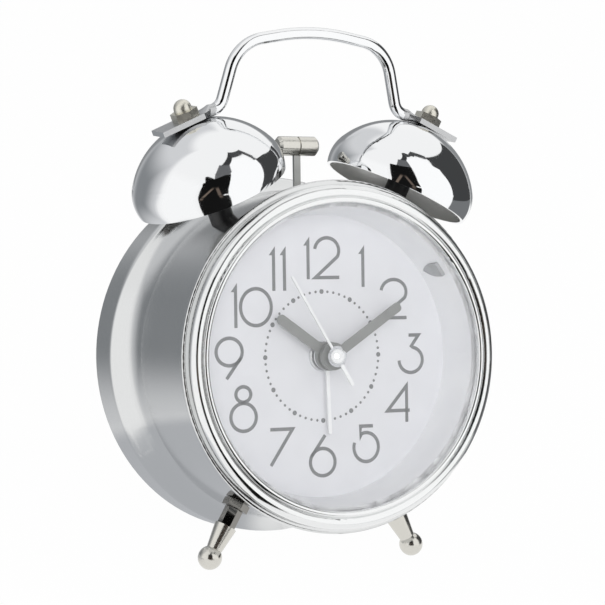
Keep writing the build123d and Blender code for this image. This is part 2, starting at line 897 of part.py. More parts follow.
# Stator with its core, the coil on the core, and the circuit board
with BuildPart() as stator:
    block(stator_front, stator_back, (stator_left, stator_low), (core_x + core_width / 2, stator_high))
    block(
        stator_front,
        stator_back,
        (core_x - core_width / 2, stator_low),
        (core_x + core_width / 2, coil_high + stator_arm / 2),
    )
    block(
        stator_front,
        stator_back,
        (core_x - core_width, coil_high),
        (core_x + core_width, coil_high + stator_arm / 2),
    )
    disc(stator_front, stator_back, rotor_magnet_r + stator_gap, rotor_centre, Mode.SUBTRACT)
keep("stator", stator)
coil_axis_y = (stator_front + stator_back) / 2
with BuildPart() as coil:
    with BuildSketch(Plane.XY.offset(coil_low)):
        with Locations((core_x, coil_axis_y)):
            Circle(coil_r)
    extrude(amount=coil_high - coil_low)
    for low in (coil_low, coil_high - coil_cheek):
        with BuildSketch(Plane.XY.offset(low)):
            with Locations((core_x, coil_axis_y)):
                Circle(coil_cheek_r)
        extrude(amount=coil_cheek)
    with BuildSketch(Plane.XY.offset(coil_low)):
        with Locations((core_x, coil_axis_y)):
            Rectangle(core_width, stator_thick)
    extrude(amount=coil_high - coil_low, mode=Mode.SUBTRACT)
keep("coil", coil)
with BuildPart() as circuit_board:
    block(
        board_depth,
        board_depth + board_thick,
        (-board_left, board_low),
        (board_right, board_low + board_height),
    )
    chip_low = board_low + board_height / 2 - chip_size / 2
    block(
        board_depth - chip_thick,
        board_depth,
        (board_middle - chip_size / 2, chip_low),
        (board_middle + chip_size / 2, chip_low + chip_size),
    )
keep("circuit_board", circuit_board)

# Knobs at the back, on the two setting arbors
for knob_name, knob_centre in (("time_knob", set_centre), ("alarm_knob", alarm_centre)):
    with BuildPart() as knob:
        disc(knob_front, knob_front + knob_length, knob_r, knob_centre)
        chamfer(knob.faces().sort_by(Axis.Y)[-1].edges(), knob_grip)
        with BuildSketch(at_depth(knob_front + knob_length)):
            with Locations(knob_centre):
                with PolarLocations(knob_r, knob_grip_count):
                    Circle(knob_grip_r)
        extrude(amount=knob_length, mode=Mode.SUBTRACT)
        disc(knob_front, arbor_back, setting_arbor_r, knob_centre, Mode.SUBTRACT)
    keep(knob_name, knob)

# Back cover: disc with a rim on the step, the battery bay and two posts for the striker frame
cover_front = cover_back - cover_thick
cover_r = band_bore_r - cover_gap
bay_open = cover_back - door_thick
bay_floor = bay_open - bay_depth
bay_high = bay_low + bay_height
frame_back = frame_front + frame_sheet
screw_ring_r = (drum_r + band_bore_r) / 2
frame_spots = [(side * frame_post_x, frame_post_z) for side in (-1, 1)]
slot_half_x = (switch_thumb + switch_travel) / 2 + switch_gap
slot_half_z = switch_thumb / 2 + switch_gap
with BuildPart() as back_cover:
    disc(step_back, cover_back, cover_r)
    disc(step_back, cover_front, cover_r - cover_rim, mode=Mode.SUBTRACT)
    block(
        bay_floor - bay_wall,
        cover_front,
        (-bay_width / 2 - bay_wall, bay_low - bay_wall),
        (bay_width / 2 + bay_wall, bay_high + bay_wall),
    )
    block(
        bay_open,
        cover_back,
        (-bay_width / 2 - door_ledge, bay_low - door_ledge),
        (bay_width / 2 + door_ledge, bay_high + door_ledge),
        Mode.SUBTRACT,
    )
    block(bay_floor, bay_open, (-bay_width / 2, bay_low), (bay_width / 2, bay_high), Mode.SUBTRACT)
    for spot in frame_spots:
        disc(frame_back, cover_front, frame_post_r, spot)
        disc(frame_back, frame_back + frame_screw_reach, frame_screw_r, spot, Mode.SUBTRACT)
    for spot in (set_centre, alarm_centre):
        disc(cover_front, cover_back, setting_arbor_r + cover_hole_gap, spot, Mode.SUBTRACT)
    block(
        cover_front,
        cover_back,
        (switch_x - slot_half_x, switch_z - slot_half_z),
        (switch_x + slot_half_x, switch_z + slot_half_z),
        Mode.SUBTRACT,
    )
    disc(cover_front, cover_back, button_r + running_gap, (-switch_x, switch_z), Mode.SUBTRACT)
    for angle in cover_screw_angles:
        disc(step_back, cover_back, cover_screw_r, clock_point(angle, screw_ring_r), Mode.SUBTRACT)
keep("back_cover", back_cover)
with BuildPart() as cover_screws:
    for angle in cover_screw_angles:
        disc(band_front, cover_back, cover_screw_r, clock_point(angle, screw_ring_r))
        disc(cover_back, cover_back + cover_screw_head, cover_screw_head_r, clock_point(angle, screw_ring_r))
keep("cover_screws", cover_screws)

# Battery door with a finger ridge and two snap legs, and the four contacts of the bay
door_half = bay_width / 2 + door_ledge - door_gap
with BuildPart() as battery_door:
    block(
        bay_open,
        cover_back,
        (-door_half, bay_low - door_ledge + door_gap),
        (door_half, bay_high + door_ledge - door_gap),
    )
    block(
        cover_back,
        cover_back + door_ridge,
        (-door_tab / 2, bay_high - door_tab_height),
        (door_tab / 2, bay_high),
    )
    for side in (-1, 1):
        middle = side * bay_width / 4
        block(
            bay_open - door_leg,
            bay_open,
            (middle - door_tab / 2, bay_high - door_gap - bay_wall),
            (middle + door_tab / 2, bay_high - door_gap),
        )
keep("battery_door", battery_door)
cell_y = bay_floor + cell_pitch / 2
with BuildPart() as battery_contacts:
    for side in (-1, 1):
        for row in (-1, 1):
            cell_z = bay_low + bay_height / 2 + row * cell_pitch / 2
            wall = side * bay_width / 2
            inner = wall - side * contact_thick
            block(
                bay_floor,
                bay_floor + contact_reach,
                (min(wall, inner), cell_z - contact_width / 2),
                (max(wall, inner), cell_z + contact_width / 2),
            )
            with BuildSketch(Plane.YZ.offset(inner)):
                with Locations((cell_y, cell_z)):
                    Circle(contact_bump_r)
            extrude(amount=-side * contact_bump)
keep("battery_contacts", battery_contacts)

# Alarm switch: slider with a thumb through the cover, in a box on the cover's inner face
slide_x = switch_x - switch_travel / 2
base_back = cover_front - running_gap
base_front = base_back - switch_base_thick
with BuildPart() as alarm_switch:
    block(
        base_front,
        base_back,
        (slide_x - switch_base / 2, switch_z - switch_base_height / 2),
        (slide_x + switch_base / 2, switch_z + switch_base_height / 2),
    )
    block(
        base_back,
        cover_back + switch_thumb_rise,
        (slide_x - switch_thumb / 2, switch_z - switch_thumb / 2),
        (slide_x + switch_thumb / 2, switch_z + switch_thumb / 2),
    )
keep("alarm_switch", alarm_switch)
well_x = (switch_base + switch_travel) / 2 + switch_gap
well_z = switch_base_height / 2 + switch_gap
with BuildPart() as alarm_switch_body:
    block(
        cover_front - switch_depth,
        cover_front,
        (switch_x - well_x - switch_wall, switch_z - well_z - switch_wall),
        (switch_x + well_x + switch_wall, switch_z + well_z + switch_wall),
    )
    block(
        base_front - switch_gap,
        cover_front,
        (switch_x - well_x, switch_z - well_z),
        (switch_x + well_x, switch_z + well_z),
        Mode.SUBTRACT,
    )
keep("alarm_switch_body", alarm_switch_body)

# Light button: flanged cap whose stem presses a small push switch in a cup on the cover
button_spot = (-switch_x, switch_z)
flange_back = cover_front - running_gap
flange_front = flange_back - button_flange
cup_floor = cover_front - button_depth + button_wall
push_back = cup_floor + push_height
with BuildPart() as light_button:
    disc(flange_front, flange_back, button_flange_r, button_spot)
    disc(flange_back, cover_back + button_rise, button_r, button_spot)
    disc(push_back - stem_entry, flange_front, stem_r, button_spot)
keep("light_button", light_button)
with BuildPart() as light_switch_cup:
    disc(cover_front - button_depth, cover_front, button_flange_r + switch_gap + button_wall, button_spot)
    disc(cup_floor, cover_front, button_flange_r + switch_gap, button_spot, Mode.SUBTRACT)
keep("light_switch_cup", light_switch_cup)
with BuildPart() as light_switch:
    block(
        cup_floor,
        push_back,
        (button_spot[0] - push_half, button_spot[1] - push_half),
        (button_spot[0] + push_half, button_spot[1] + push_half),
    )
    disc(
        push_back - stem_entry - button_travel - switch_gap,
        push_back,
        stem_r + running_gap,
        button_spot,
        Mode.SUBTRACT,
    )
keep("light_switch", light_switch)

# Bells: spun domes with a round shoulder, a spherical crown and a hole for the post
shoulder_centre = (bell_belly_r - bell_shoulder_r, bell_belly_height)
shoulder_room = bell_height - bell_belly_height - bell_shoulder_r
crown_drop = (shoulder_centre[0] ** 2 - shoulder_room**2) / (2 * shoulder_room)
crown_centre = (0, bell_belly_height - crown_drop)
crown_r = bell_height - crown_centre[1]
meet_turn = degrees(atan2(crown_drop, shoulder_centre[0]))
bell_bore_r = post_r + running_gap
for bell_name, side in (("left_bell", -1), ("right_bell", 1)):
    with BuildPart() as bell:
        with BuildSketch(axis_section(bell_foot(side), bell_axis(side), bell_across)):
            with BuildLine():
                rims = []
                tops = []
                for skin in (0, bell_sheet):
                    shoulder_r = bell_shoulder_r - skin
                    rim_turn = degrees(asin(bell_belly_height / shoulder_r))
                    top_turn = degrees(acos(bell_bore_r / (crown_r - skin)))
                    CenterArc(shoulder_centre, shoulder_r, 0, meet_turn)
                    rims.append(CenterArc(shoulder_centre, shoulder_r, 0, -rim_turn))
                    tops.append(CenterArc(crown_centre, crown_r - skin, meet_turn, top_turn - meet_turn))
                Line(rims[0] @ 1, rims[1] @ 1)
                Line(tops[0] @ 1, tops[1] @ 1)
            make_face()
        revolve(axis=Axis(bell_foot(side), bell_axis(side)))
    keep(bell_name, bell)

# Spacers between drum and bell, threaded posts, acorn nuts on top and nuts inside the drum
acorn_base = bell_height + tab_thick
post_top = acorn_base + acorn_thread
spacer_top = crown_centre[1] + sqrt((crown_r - bell_sheet) ** 2 - spacer_r**2)
with BuildPart() as bell_spacers:
    for side in (-1, 1):
        with BuildSketch(bell_plane(side, spacer_top)):
            Circle(spacer_r)
        extrude(amount=-(spacer_top + post_inside))
    disc(-drum_r, band_back, drum_r, mode=Mode.SUBTRACT)
    for side in (-1, 1):
        with BuildSketch(bell_plane(side, bell_height)):
            Circle(post_r)
        extrude(amount=-(bell_height + post_inside), mode=Mode.SUBTRACT)
keep("bell_spacers", bell_spacers)
with BuildPart() as bell_posts:
    for side in (-1, 1):
        with BuildSketch(bell_plane(side, post_top)):
            Circle(post_r)
        extrude(amount=-(post_top + post_inside))
keep("bell_posts", bell_posts)
with BuildPart() as acorn_nuts:
    for side in (-1, 1):
        with BuildSketch(bell_plane(side, acorn_base)):
            RegularPolygon(acorn_flats / 2, 6, major_radius=False)
        extrude(amount=acorn_hex)
        neck_base = acorn_base + acorn_hex
        dome_base = neck_base + acorn_neck
        with BuildSketch(axis_section(bell_foot(side), bell_axis(side), bell_across)):
            with BuildLine():
                Polyline(
                    (0, dome_base + acorn_dome_r),
                    (0, neck_base),
                    (acorn_dome_r, neck_base),
                    (acorn_dome_r, dome_base),
                )
                CenterArc((0, dome_base), acorn_dome_r, 0, quarter_turn)
            make_face()
        revolve(axis=Axis(bell_foot(side), bell_axis(side)))
    for side in (-1, 1):
        with BuildSketch(bell_plane(side, acorn_base)):
            Circle(post_r)
        extrude(amount=post_top - acorn_base, mode=Mode.SUBTRACT)
keep("acorn_nuts", acorn_nuts)
with BuildPart() as bell_inner_nuts:
    for side in (-1, 1):
        with BuildSketch(bell_plane(side, -inner_nut_seat)):
            RegularPolygon(inner_nut_flats / 2, 6, major_radius=False)
            Circle(post_r, mode=Mode.SUBTRACT)
        extrude(amount=-inner_nut_thick)
keep("bell_inner_nuts", bell_inner_nuts)


def tab_point(side, reach, lift):
    """Point in the bells' leaning plane: reach inwards along the tab, lift above the bell's top."""
    tilt = radians(bell_tilt)
    along = bell_x + (bell_height + lift) * sin(tilt) - reach * cos(tilt)
    up = (bell_height + lift) * cos(tilt) + reach * sin(tilt)
    return (side * along, up)


# Handle: bent rod whose ends run into flat tabs clamped under the acorn nuts
with BuildPart() as handle:
    with BuildLine(bell_wall) as rod_line:
        FilletPolyline(
            tab_point(-1, rod_end, rod_end_lift),
            tab_point(-1, knee_reach, knee_lift),
            (-shoulder_x, shoulder_rise),
            (0, handle_rise),
            (shoulder_x, shoulder_rise),
            tab_point(1, knee_reach, knee_lift),
            tab_point(1, rod_end, rod_end_lift),
            radius=[knee_bend_r, shoulder_bend_r, crown_bend_r, shoulder_bend_r, knee_bend_r],
        )
    rod = rod_line.line
    with BuildSketch(Plane(rod @ 0, z_dir=rod % 0)):
        Circle(rod_r)
    sweep()
    for side, end, leaving in ((-1, rod @ 0, -(rod % 0)), (1, rod @ 1, rod % 1)):
        outward = Vector(*bell_across).cross(Vector(*bell_axis(side))) * side
        flat = bell_wall.from_local_coords(tab_point(side, tab_inner, tab_thick / 2))
        with BuildSketch(Plane(origin=end, x_dir=bell_across, z_dir=leaving)):
            Circle(rod_r)
        with BuildSketch(Plane(origin=flat, x_dir=bell_across, z_dir=outward)):
            Rectangle(tab_width, tab_thick)
        loft()
        seat = bell_plane(side, bell_height)
        with BuildSketch(Plane(origin=seat.origin, x_dir=outward, z_dir=seat.z_dir)):
            with Locations(((tab_outer - tab_inner) / 2, 0)):
                Rectangle(tab_outer + tab_inner, tab_width)
            Circle(post_r + running_gap, mode=Mode.SUBTRACT)
        extrude(amount=tab_thick)
keep("handle", handle)

# Hammer: turned head on a strip that swings on a pin, with a forked tail for the crank pin
hammer_back = hammer_y + hammer_sheet / 2
hammer_front = hammer_y - hammer_sheet / 2
with BuildPart() as hammer_arm:
    block(hammer_front, hammer_back, (-hammer_strip / 2, hammer_pivot_z), (hammer_strip / 2, hammer_head_z))
    disc(hammer_front, hammer_back, hammer_hub_r, (0, hammer_pivot_z))
    block(
        hammer_front,
        hammer_back,
        (-hammer_strip / 2, hammer_fork_top - hammer_hub_r),
        (hammer_strip / 2, hammer_pivot_z),
    )
    block(
        hammer_front,
        hammer_back,
        (-hammer_fork_width / 2, hammer_fork_low),
        (hammer_fork_width / 2, hammer_fork_top),
    )
    block(
        hammer_front,
        hammer_back,
        (-hammer_fork_slot / 2, hammer_fork_low),
        (hammer_fork_slot / 2, hammer_fork_top - hammer_strip),
        Mode.SUBTRACT,
    )
    disc(hammer_front, hammer_back, pivot_pin_r + running_gap, (0, hammer_pivot_z), Mode.SUBTRACT)
keep("hammer_arm", hammer_arm)
with BuildPart() as hammer_head:
    with BuildSketch(Plane.YZ.offset(-hammer_head_length / 2)):
        with Locations((hammer_y, hammer_head_z)):
            Circle(hammer_head_r)
    extrude(amount=hammer_head_length)
    chamfer(hammer_head.edges().group_by(Axis.X)[0], hammer_chamfer)
    chamfer(hammer_head.edges().group_by(Axis.X)[-1], hammer_chamfer)
    with BuildSketch(Plane.YZ.offset(-hammer_groove / 2)):
        with Locations((hammer_y, hammer_head_z)):
            Circle(hammer_head_r)
            Circle(hammer_head_r - hammer_groove_depth, mode=Mode.SUBTRACT)
    extrude(amount=hammer_groove, mode=Mode.SUBTRACT)
    block(
        hammer_front,
        hammer_back,
        (-hammer_strip / 2, hammer_head_z - 2 * hammer_head_r),
        (hammer_strip / 2, hammer_head_z),
        Mode.SUBTRACT,
    )
keep("hammer_head", hammer_head)
clip_back = hammer_front - clip_gap
with BuildPart() as hammer_pivot_pin:
    disc(clip_back - clip_thick - clip_gap, frame_back, pivot_pin_r, (0, hammer_pivot_z))
    disc(hammer_back + clip_gap, frame_front, pivot_collar_r, (0, hammer_pivot_z))
keep("hammer_pivot_pin", hammer_pivot_pin)
with BuildPart() as hammer_clip:
    disc(clip_back - clip_thick, clip_back, clip_r, (0, hammer_pivot_z))
    disc(clip_back - clip_thick, clip_back, pivot_pin_r, (0, hammer_pivot_z), Mode.SUBTRACT)
keep("hammer_clip", hammer_clip)

# Striker frame on the cover's posts, its screws, the motor and the crank
motor_spot = (0, motor_z)
with BuildPart() as striker_frame:
    with BuildSketch(at_depth(frame_back)):
        with Locations((0, (frame_low + frame_high) / 2)):
            Rectangle(2 * frame_half_width, frame_high - frame_low)
        Circle(drum_bore_r - hammer_chamfer, mode=Mode.INTERSECT)
    extrude(amount=frame_sheet)
    disc(frame_front, frame_back, motor_nose_r, motor_spot, Mode.SUBTRACT)
    disc(frame_front, frame_back, pivot_pin_r, (0, hammer_pivot_z), Mode.SUBTRACT)
    for spot in frame_spots:
        disc(frame_front, frame_back, frame_screw_r, spot, Mode.SUBTRACT)
keep("striker_frame", striker_frame)
with BuildPart() as frame_screws:
    for spot in frame_spots:
        disc(frame_front, frame_back + frame_screw_reach, frame_screw_r, spot)
        disc(frame_front - frame_screw_head, frame_front, frame_screw_head_r, spot)
keep("frame_screws", frame_screws)
with BuildPart() as motor:
    disc(frame_back, frame_back + motor_length, motor_r, motor_spot)
    disc(frame_back - motor_nose, frame_back, motor_nose_r, motor_spot)
    disc(
        frame_back - motor_nose,
        frame_back + motor_shaft_inside,
        motor_shaft_r + running_gap,
        motor_spot,
        Mode.SUBTRACT,
    )
keep("motor", motor)
crank_back = crank_front + crank_thick
with BuildPart() as crank:
    disc(crank_front, crank_back, crank_r, motor_spot)
    disc(crank_back, frame_back + motor_shaft_inside - clip_gap, motor_shaft_r, motor_spot)
    # The pin ends just behind the hammer's fork, where this linkage is opened
    disc(hammer_back + clip_gap, crank_front, crank_pin_r, (0, motor_z + crank_throw))
keep("crank", crank)


def foot_axis(side):
    """Direction of a foot's axis, down and outwards to its side."""
    swing = radians(foot_angle)
    return (side * sin(swing), 0, -cos(swing))


# Feet: stud, hexagonal shank, cone and ball in one piece
nut_end_reach = drum_r + 2 * foot_nut_gap + foot_nut_thick
foot_cone_reach = nut_end_reach + foot_shank
neck_reach = foot_ball_reach - sqrt(foot_ball_r**2 - foot_neck_r**2)
foot_origin = (0, foot_y, 0)
for foot_name, side in (("left_foot", -1), ("right_foot", 1)):
    with BuildPart() as foot:
        with BuildSketch(axis_section(foot_origin, foot_axis(side))):
            with BuildLine():
                Polyline(
                    (0, foot_ball_reach + foot_ball_r),
                    (0, foot_stud_end),
                    (foot_stud_r, foot_stud_end),
                    (foot_stud_r, foot_cone_reach),
                    (foot_cone_r, foot_cone_reach),
                    (foot_neck_r, neck_reach),
                )
                ThreePointArc(
                    (foot_neck_r, neck_reach),
                    (foot_ball_r, foot_ball_reach),
                    (0, foot_ball_reach + foot_ball_r),
                )
            make_face()
        revolve(axis=Axis(foot_origin, foot_axis(side)))
        # Hexagonal shank between the outer nut and the cone
        shank = Plane(origin=foot_origin, x_dir=(0, 1, 0), z_dir=foot_axis(side))
        with BuildSketch(shank.offset(foot_cone_reach)):
            RegularPolygon(foot_hex_flats / 2, 6, major_radius=False)
        extrude(amount=-foot_shank)
    keep(foot_name, foot)


def nut_on_stud(side, low, high):
    """Hex nut on a foot's stud between two reaches, inside the part being built."""
    plane = Plane(origin=foot_origin, x_dir=(0, 1, 0), z_dir=foot_axis(side))
    with BuildSketch(plane.offset(low)) as outline:
        RegularPolygon(foot_nut_flats / 2, 6, major_radius=False)
        Circle(foot_stud_r, mode=Mode.SUBTRACT)
    extrude(outline.sketch, amount=high - low)


# Hex nuts outside and inside the drum
nut_corner = foot_nut_flats / sqrt(3)
inner_seat = sqrt(drum_bore_r**2 - nut_corner**2) - foot_nut_gap
with BuildPart() as foot_nuts:
    for side in (-1, 1):
        nut_on_stud(side, drum_r + foot_nut_gap, drum_r + foot_nut_gap + foot_nut_thick)
        nut_on_stud(side, inner_seat - foot_nut_thick, inner_seat)
keep("foot_nuts", foot_nuts)

# Lean everything back onto the two balls and the band's lower edge, then centre it on the origin
reach_back = band_back - foot_y
ball_drop = band_r - foot_ball_reach * cos(radians(foot_angle))
lean = asin(foot_ball_r / hypot(reach_back, ball_drop)) - atan2(ball_drop, reach_back)
leaned = Location((0, 0, 0), (-degrees(lean), 0, 0))
extent = Compound([piece.moved(leaned) for piece in pieces.values()]).bounding_box()
floor_z = -band_back * sin(lean) - band_r * cos(lean)
middle_y = (extent.min.Y + extent.max.Y) / 2
stand = Location((0, -middle_y, -floor_z)) * leaned
os.makedirs("parts", exist_ok=True)
for name, piece in pieces.items():
    placed = piece.moved(stand)
    placed.label = name
    export_step(placed, f"parts/{name}.step")
print(f"lean {degrees(lean):.4f} shift y {-middle_y:.4f} z {-floor_z:.4f}")
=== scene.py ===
# %% [markdown]
# # A twin-bell alarm clock, dressed for its picture
# The clock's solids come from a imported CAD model. They keep their places, and this script
# gives them finishes, prints the dial, and sets up a camera and a studio. Every length that
# belongs to the clock is in millimetres on the clock's own axes: x to the right as the dial
# is read, y from the glass to the back, z up along the dial. The clock leans back on its
# feet, so one function carries such a point to the model's upright frame in metres.

# %% Load the solids
import json
import math

import bpy
from mathutils import Matrix, Vector


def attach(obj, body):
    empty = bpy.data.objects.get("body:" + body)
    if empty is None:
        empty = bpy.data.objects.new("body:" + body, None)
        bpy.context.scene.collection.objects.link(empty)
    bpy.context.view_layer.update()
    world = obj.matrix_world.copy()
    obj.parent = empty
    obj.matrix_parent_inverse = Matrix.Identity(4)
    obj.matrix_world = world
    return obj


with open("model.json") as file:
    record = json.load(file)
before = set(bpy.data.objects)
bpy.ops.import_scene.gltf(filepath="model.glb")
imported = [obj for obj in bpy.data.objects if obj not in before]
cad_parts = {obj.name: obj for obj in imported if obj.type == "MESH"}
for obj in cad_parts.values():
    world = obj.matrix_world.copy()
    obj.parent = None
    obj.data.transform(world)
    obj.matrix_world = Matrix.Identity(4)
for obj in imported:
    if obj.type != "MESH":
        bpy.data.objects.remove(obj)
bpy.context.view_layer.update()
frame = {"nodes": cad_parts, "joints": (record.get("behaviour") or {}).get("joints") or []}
nodes = frame["nodes"]
print("solids loaded:", len(nodes))

# %% [markdown]
# ## The clock's own axes
# The hour hand's joint runs along the drum's axis and sits on the dial's face. Its direction
# tells how far the clock leans back, so nothing has to be measured twice.

# %% Carry a point from the clock to the model
MM = 0.001
DIAL_FACE = 15.5
hour_joint = next(j for j in frame["joints"] if j["name"] == "hour_turn")
RIGHT = Vector((1, 0, 0))
BACK = Vector(hour_joint["axis"]).normalized()
UP = RIGHT.cross(BACK)
DIAL_CENTRE = Vector(hour_joint["pos_m"])
TO_MODEL = Matrix((RIGHT, BACK, UP)).transposed()
LEAN = math.asin(-BACK.z)


def on_clock(x, y, z):
    """Point of the clock's own axes, in mm, as a point of the model, in metres."""
    return DIAL_CENTRE + MM * (RIGHT * x + BACK * (y - DIAL_FACE) + UP * z)


print("lean back, degrees:", round(math.degrees(LEAN), 2))

# %% [markdown]
# ## The camera
# The picture was taken with a long lens from the front and a little to the left. The clock
# in it looks upright, but on its own feet it leans back, so the picture must have been turned
# afterwards. The camera could stand level and the clock be tilted for the picture, but then the
# clock would float. So the camera is set in the clock's own axes, and leans and rolls with it.

# %% Set the camera
VIEW_AZIMUTH = math.radians(-28.43)
VIEW_RISE = math.radians(0.44)
VIEW_ROLL = math.radians(-0.78)
# Where the clock's zero point lies, seen from the lens: right, up and away, in mm
VIEW_OFFSET = Vector((13.03, -15.93, 761.1))
FOCAL_PX = 2600
FRAME_PX = 605
SENSOR_MM = 36
NEAR_CLIP = 0.01

toward = Vector(
    (
        math.sin(VIEW_AZIMUTH) * math.cos(VIEW_RISE),
        -math.cos(VIEW_AZIMUTH) * math.cos(VIEW_RISE),
        math.sin(VIEW_RISE),
    )
)
level = Vector((math.cos(VIEW_AZIMUTH), math.sin(VIEW_AZIMUTH), 0))
rise = toward.cross(level)
image_x = level * math.cos(VIEW_ROLL) + rise * math.sin(VIEW_ROLL)
image_y = rise * math.cos(VIEW_ROLL) - level * math.sin(VIEW_ROLL)
eye = toward * VIEW_OFFSET.z - image_x * VIEW_OFFSET.x - image_y * VIEW_OFFSET.y

lens = bpy.data.cameras.new("long_lens")
lens.sensor_width = SENSOR_MM
lens.sensor_fit = "HORIZONTAL"
lens.lens = FOCAL_PX * SENSOR_MM / FRAME_PX
lens.clip_start = NEAR_CLIP
camera = bpy.data.objects.new("camera", lens)
bpy.context.collection.objects.link(camera)
turned = TO_MODEL @ Matrix((image_x, image_y, toward)).transposed()
camera.matrix_world = Matrix.Translation(on_clock(*eye)) @ turned.to_4x4()
bpy.context.scene.camera = camera
bpy.context.scene.view_settings.view_transform = "Standard"
print("camera at", [round(v, 3) for v in camera.location], "lens", round(lens.lens, 1))

# %% [markdown]
# ## Colours and nodes
# Colours are written as sRGB hex values, as a paint card would give them, and turned into the
# linear values that the shaders work in. Patterns are written in millimetres, and turned into the
# scale that a texture node takes.

# %% Turn colours and pattern sizes into node values


def linear(code):
    """sRGB hex value as a linear RGBA colour."""
    channels = [int(code[i : i + 2], 16) / 255 for i in (1, 3, 5)]
    return [c / 12.92 if c <= 0.04045 else ((c + 0.055) / 1.055) ** 2.4 for c in channels] + [1.0]


def per(size_mm):
    """Texture scale at which one cell of a pattern is this many millimetres wide."""
    return 1 / (size_mm * MM)


print("middle grey in linear light:", round(linear("#808080")[0], 3))

# %% [markdown]
# A material is a small tree of nodes. One function adds a node, sets its sockets and links them,
# and another starts an empty tree.

# %% Add nodes


def add(tree, kind, values=None, links=None, **settings):
    """Add a node: settings are its properties, values its sockets, links what feeds them.

    A socket goes by its name, or by its number where several have the same name.
    """
    node = tree.nodes.new(kind)
    for name, value in settings.items():
        setattr(node, name, value)
    for name, value in (values or {}).items():
        node.inputs[name].default_value = value
    for name, socket in (links or {}).items():
        tree.links.new(socket, node.inputs[name])
    return node


def blank(name):
    """New material with an empty node tree, and its tree."""
    material = bpy.data.materials.new(name)
    material.use_nodes = True
    material.node_tree.nodes.clear()
    return material, material.node_tree


print("nodes can be added")

# %% [markdown]
# ## Plated metal
# The bright pieces are metal, most of them with a thin plating. One mirror finish for all of them
# would look wrong: what tells them apart is how well the metal was polished before it was plated.
# So one function takes a metal colour, a range of roughness that changes slowly over the piece as
# polishing and handling leave it, and a fine bump. Sheet that was spun on a lathe also has rings,
# which are the same bump drawn out round the drum.

# %% A plated finish
# A noise texture stays between these values nearly everywhere
NOISE_SPAN = (0.3, 0.7)
GRIT_DEPTH = 0.02
RING_DRAW_SHARE = 0.02


def plated(name, colour, gloss, haze_mm, grit_mm, grit, rings_mm=None):
    """Plated metal: gloss is the roughness range, haze_mm the size of its patches."""
    material, tree = blank(name)
    place = add(tree, "ShaderNodeTexCoord").outputs["Object"]
    haze = add(
        tree,
        "ShaderNodeTexNoise",
        {"Scale": per(haze_mm), "Detail": 4.0, "Roughness": 0.6},
        {"Vector": place},
    )
    rough = add(
        tree,
        "ShaderNodeMapRange",
        {"From Min": NOISE_SPAN[0], "From Max": NOISE_SPAN[1], "To Min": gloss[0], "To Max": gloss[1]},
        {"Value": haze.outputs["Fac"]},
    )
    if rings_mm:
        # Rings run round the drum, so the pattern is fine along its axis and long across it
        finer = per(rings_mm) / per(grit_mm)
        across = add(
            tree,
            "ShaderNodeMapping",
            {"Rotation": (LEAN, 0, 0), "Scale": (RING_DRAW_SHARE, finer, RING_DRAW_SHARE)},
            {"Vector": place},
        )
        place = across.outputs["Vector"]
    marks = add(tree, "ShaderNodeTexNoise", {"Scale": per(grit_mm), "Detail": 3.0}, {"Vector": place})
    bump = add(
        tree,
        "ShaderNodeBump",
        {"Strength": grit, "Distance": GRIT_DEPTH * MM},
        {"Height": marks.outputs["Fac"]},
    )
    shader = add(
        tree,
        "ShaderNodeBsdfPrincipled",
        {"Base Color": linear(colour), "Metallic": 1.0},
        {"Roughness": rough.outputs["Result"], "Normal": bump.outputs["Normal"]},
    )
    add(tree, "ShaderNodeOutputMaterial", links={"Surface": shader.outputs["BSDF"]})
    return material


print("noise taken from", *NOISE_SPAN)

# %% [markdown]
# The bells and the handle are polished before plating, the drum and the bezel only buffed, and
# the feet and the hammer's head are turned. Polishing marks and spinning rings are finer than a
# dot of the picture, so all of them are drawn as coarse as they need to be to show.

# %% Make the chrome finishes
# Chrome on polished steel: a mirror, in which the eye sees the studio and hardly any metal
bright_chrome = plated("bright_chrome", "#f0f1f2", (0.03, 0.08), haze_mm=6, grit_mm=0.8, grit=0.05)
# Chrome on spun sheet: soft bands of light and grey, drawn out by the rings of the lathe
spun_chrome = plated(
    "spun_chrome", "#dcdddd", (0.13, 0.20), haze_mm=9, grit_mm=0.5, grit=0.06, rings_mm=0.35
)
# Chrome on a rolled and buffed ring: bright lines along its beads, and no clear picture in them
bezel_chrome = plated("bezel_chrome", "#ebecec", (0.12, 0.18), haze_mm=7, grit_mm=0.6, grit=0.06)
# Chrome on rod that was pressed flat: greyer than the rod, with its light blurred
pressed_chrome = plated("pressed_chrome", "#c3c4c5", (0.28, 0.36), haze_mm=4, grit_mm=0.6, grit=0.15)
# Thin plating on pressed sheet, never polished: pale and matt, as the bells are inside
bare_bell_inside = plated(
    "bare_bell_inside", "#f2f2f0", (0.40, 0.52), haze_mm=5, grit_mm=0.8, grit=0.2
)
print("chrome finishes made")

# %% Make the other metal finishes
# Nickel on turned brass: a warm grey, with highlights that tool marks smear a little
turned_nickel = plated("turned_nickel", "#d6d4cd", (0.16, 0.24), haze_mm=3, grit_mm=0.4, grit=0.12)
# Nickel on cast nuts: as warm, with one broad soft highlight on each dome
cast_nickel = plated("cast_nickel", "#dedbd0", (0.28, 0.36), haze_mm=2, grit_mm=0.5, grit=0.15)
# Nickel on hexagon steel, its colour darkened as a painted dark reflection; glossy, so each flat also shows
# one patch of the room
nickel_painted_dark = plated("nickel_painted_dark", "#8a8884", (0.05, 0.10), haze_mm=3, grit_mm=0.4, grit=0.08)
# Zinc on stamped steel: a dull even grey
zinc_steel = plated("zinc_steel", "#a9aaa8", (0.30, 0.42), haze_mm=4, grit_mm=0.5, grit=0.25)
# Turned aluminium: pale, with a soft highlight
turned_aluminium = plated(
    "turned_aluminium", "#d9dadb", (0.16, 0.26), haze_mm=2, grit_mm=0.3, grit=0.15
)
print("nickel, zinc and aluminium made")

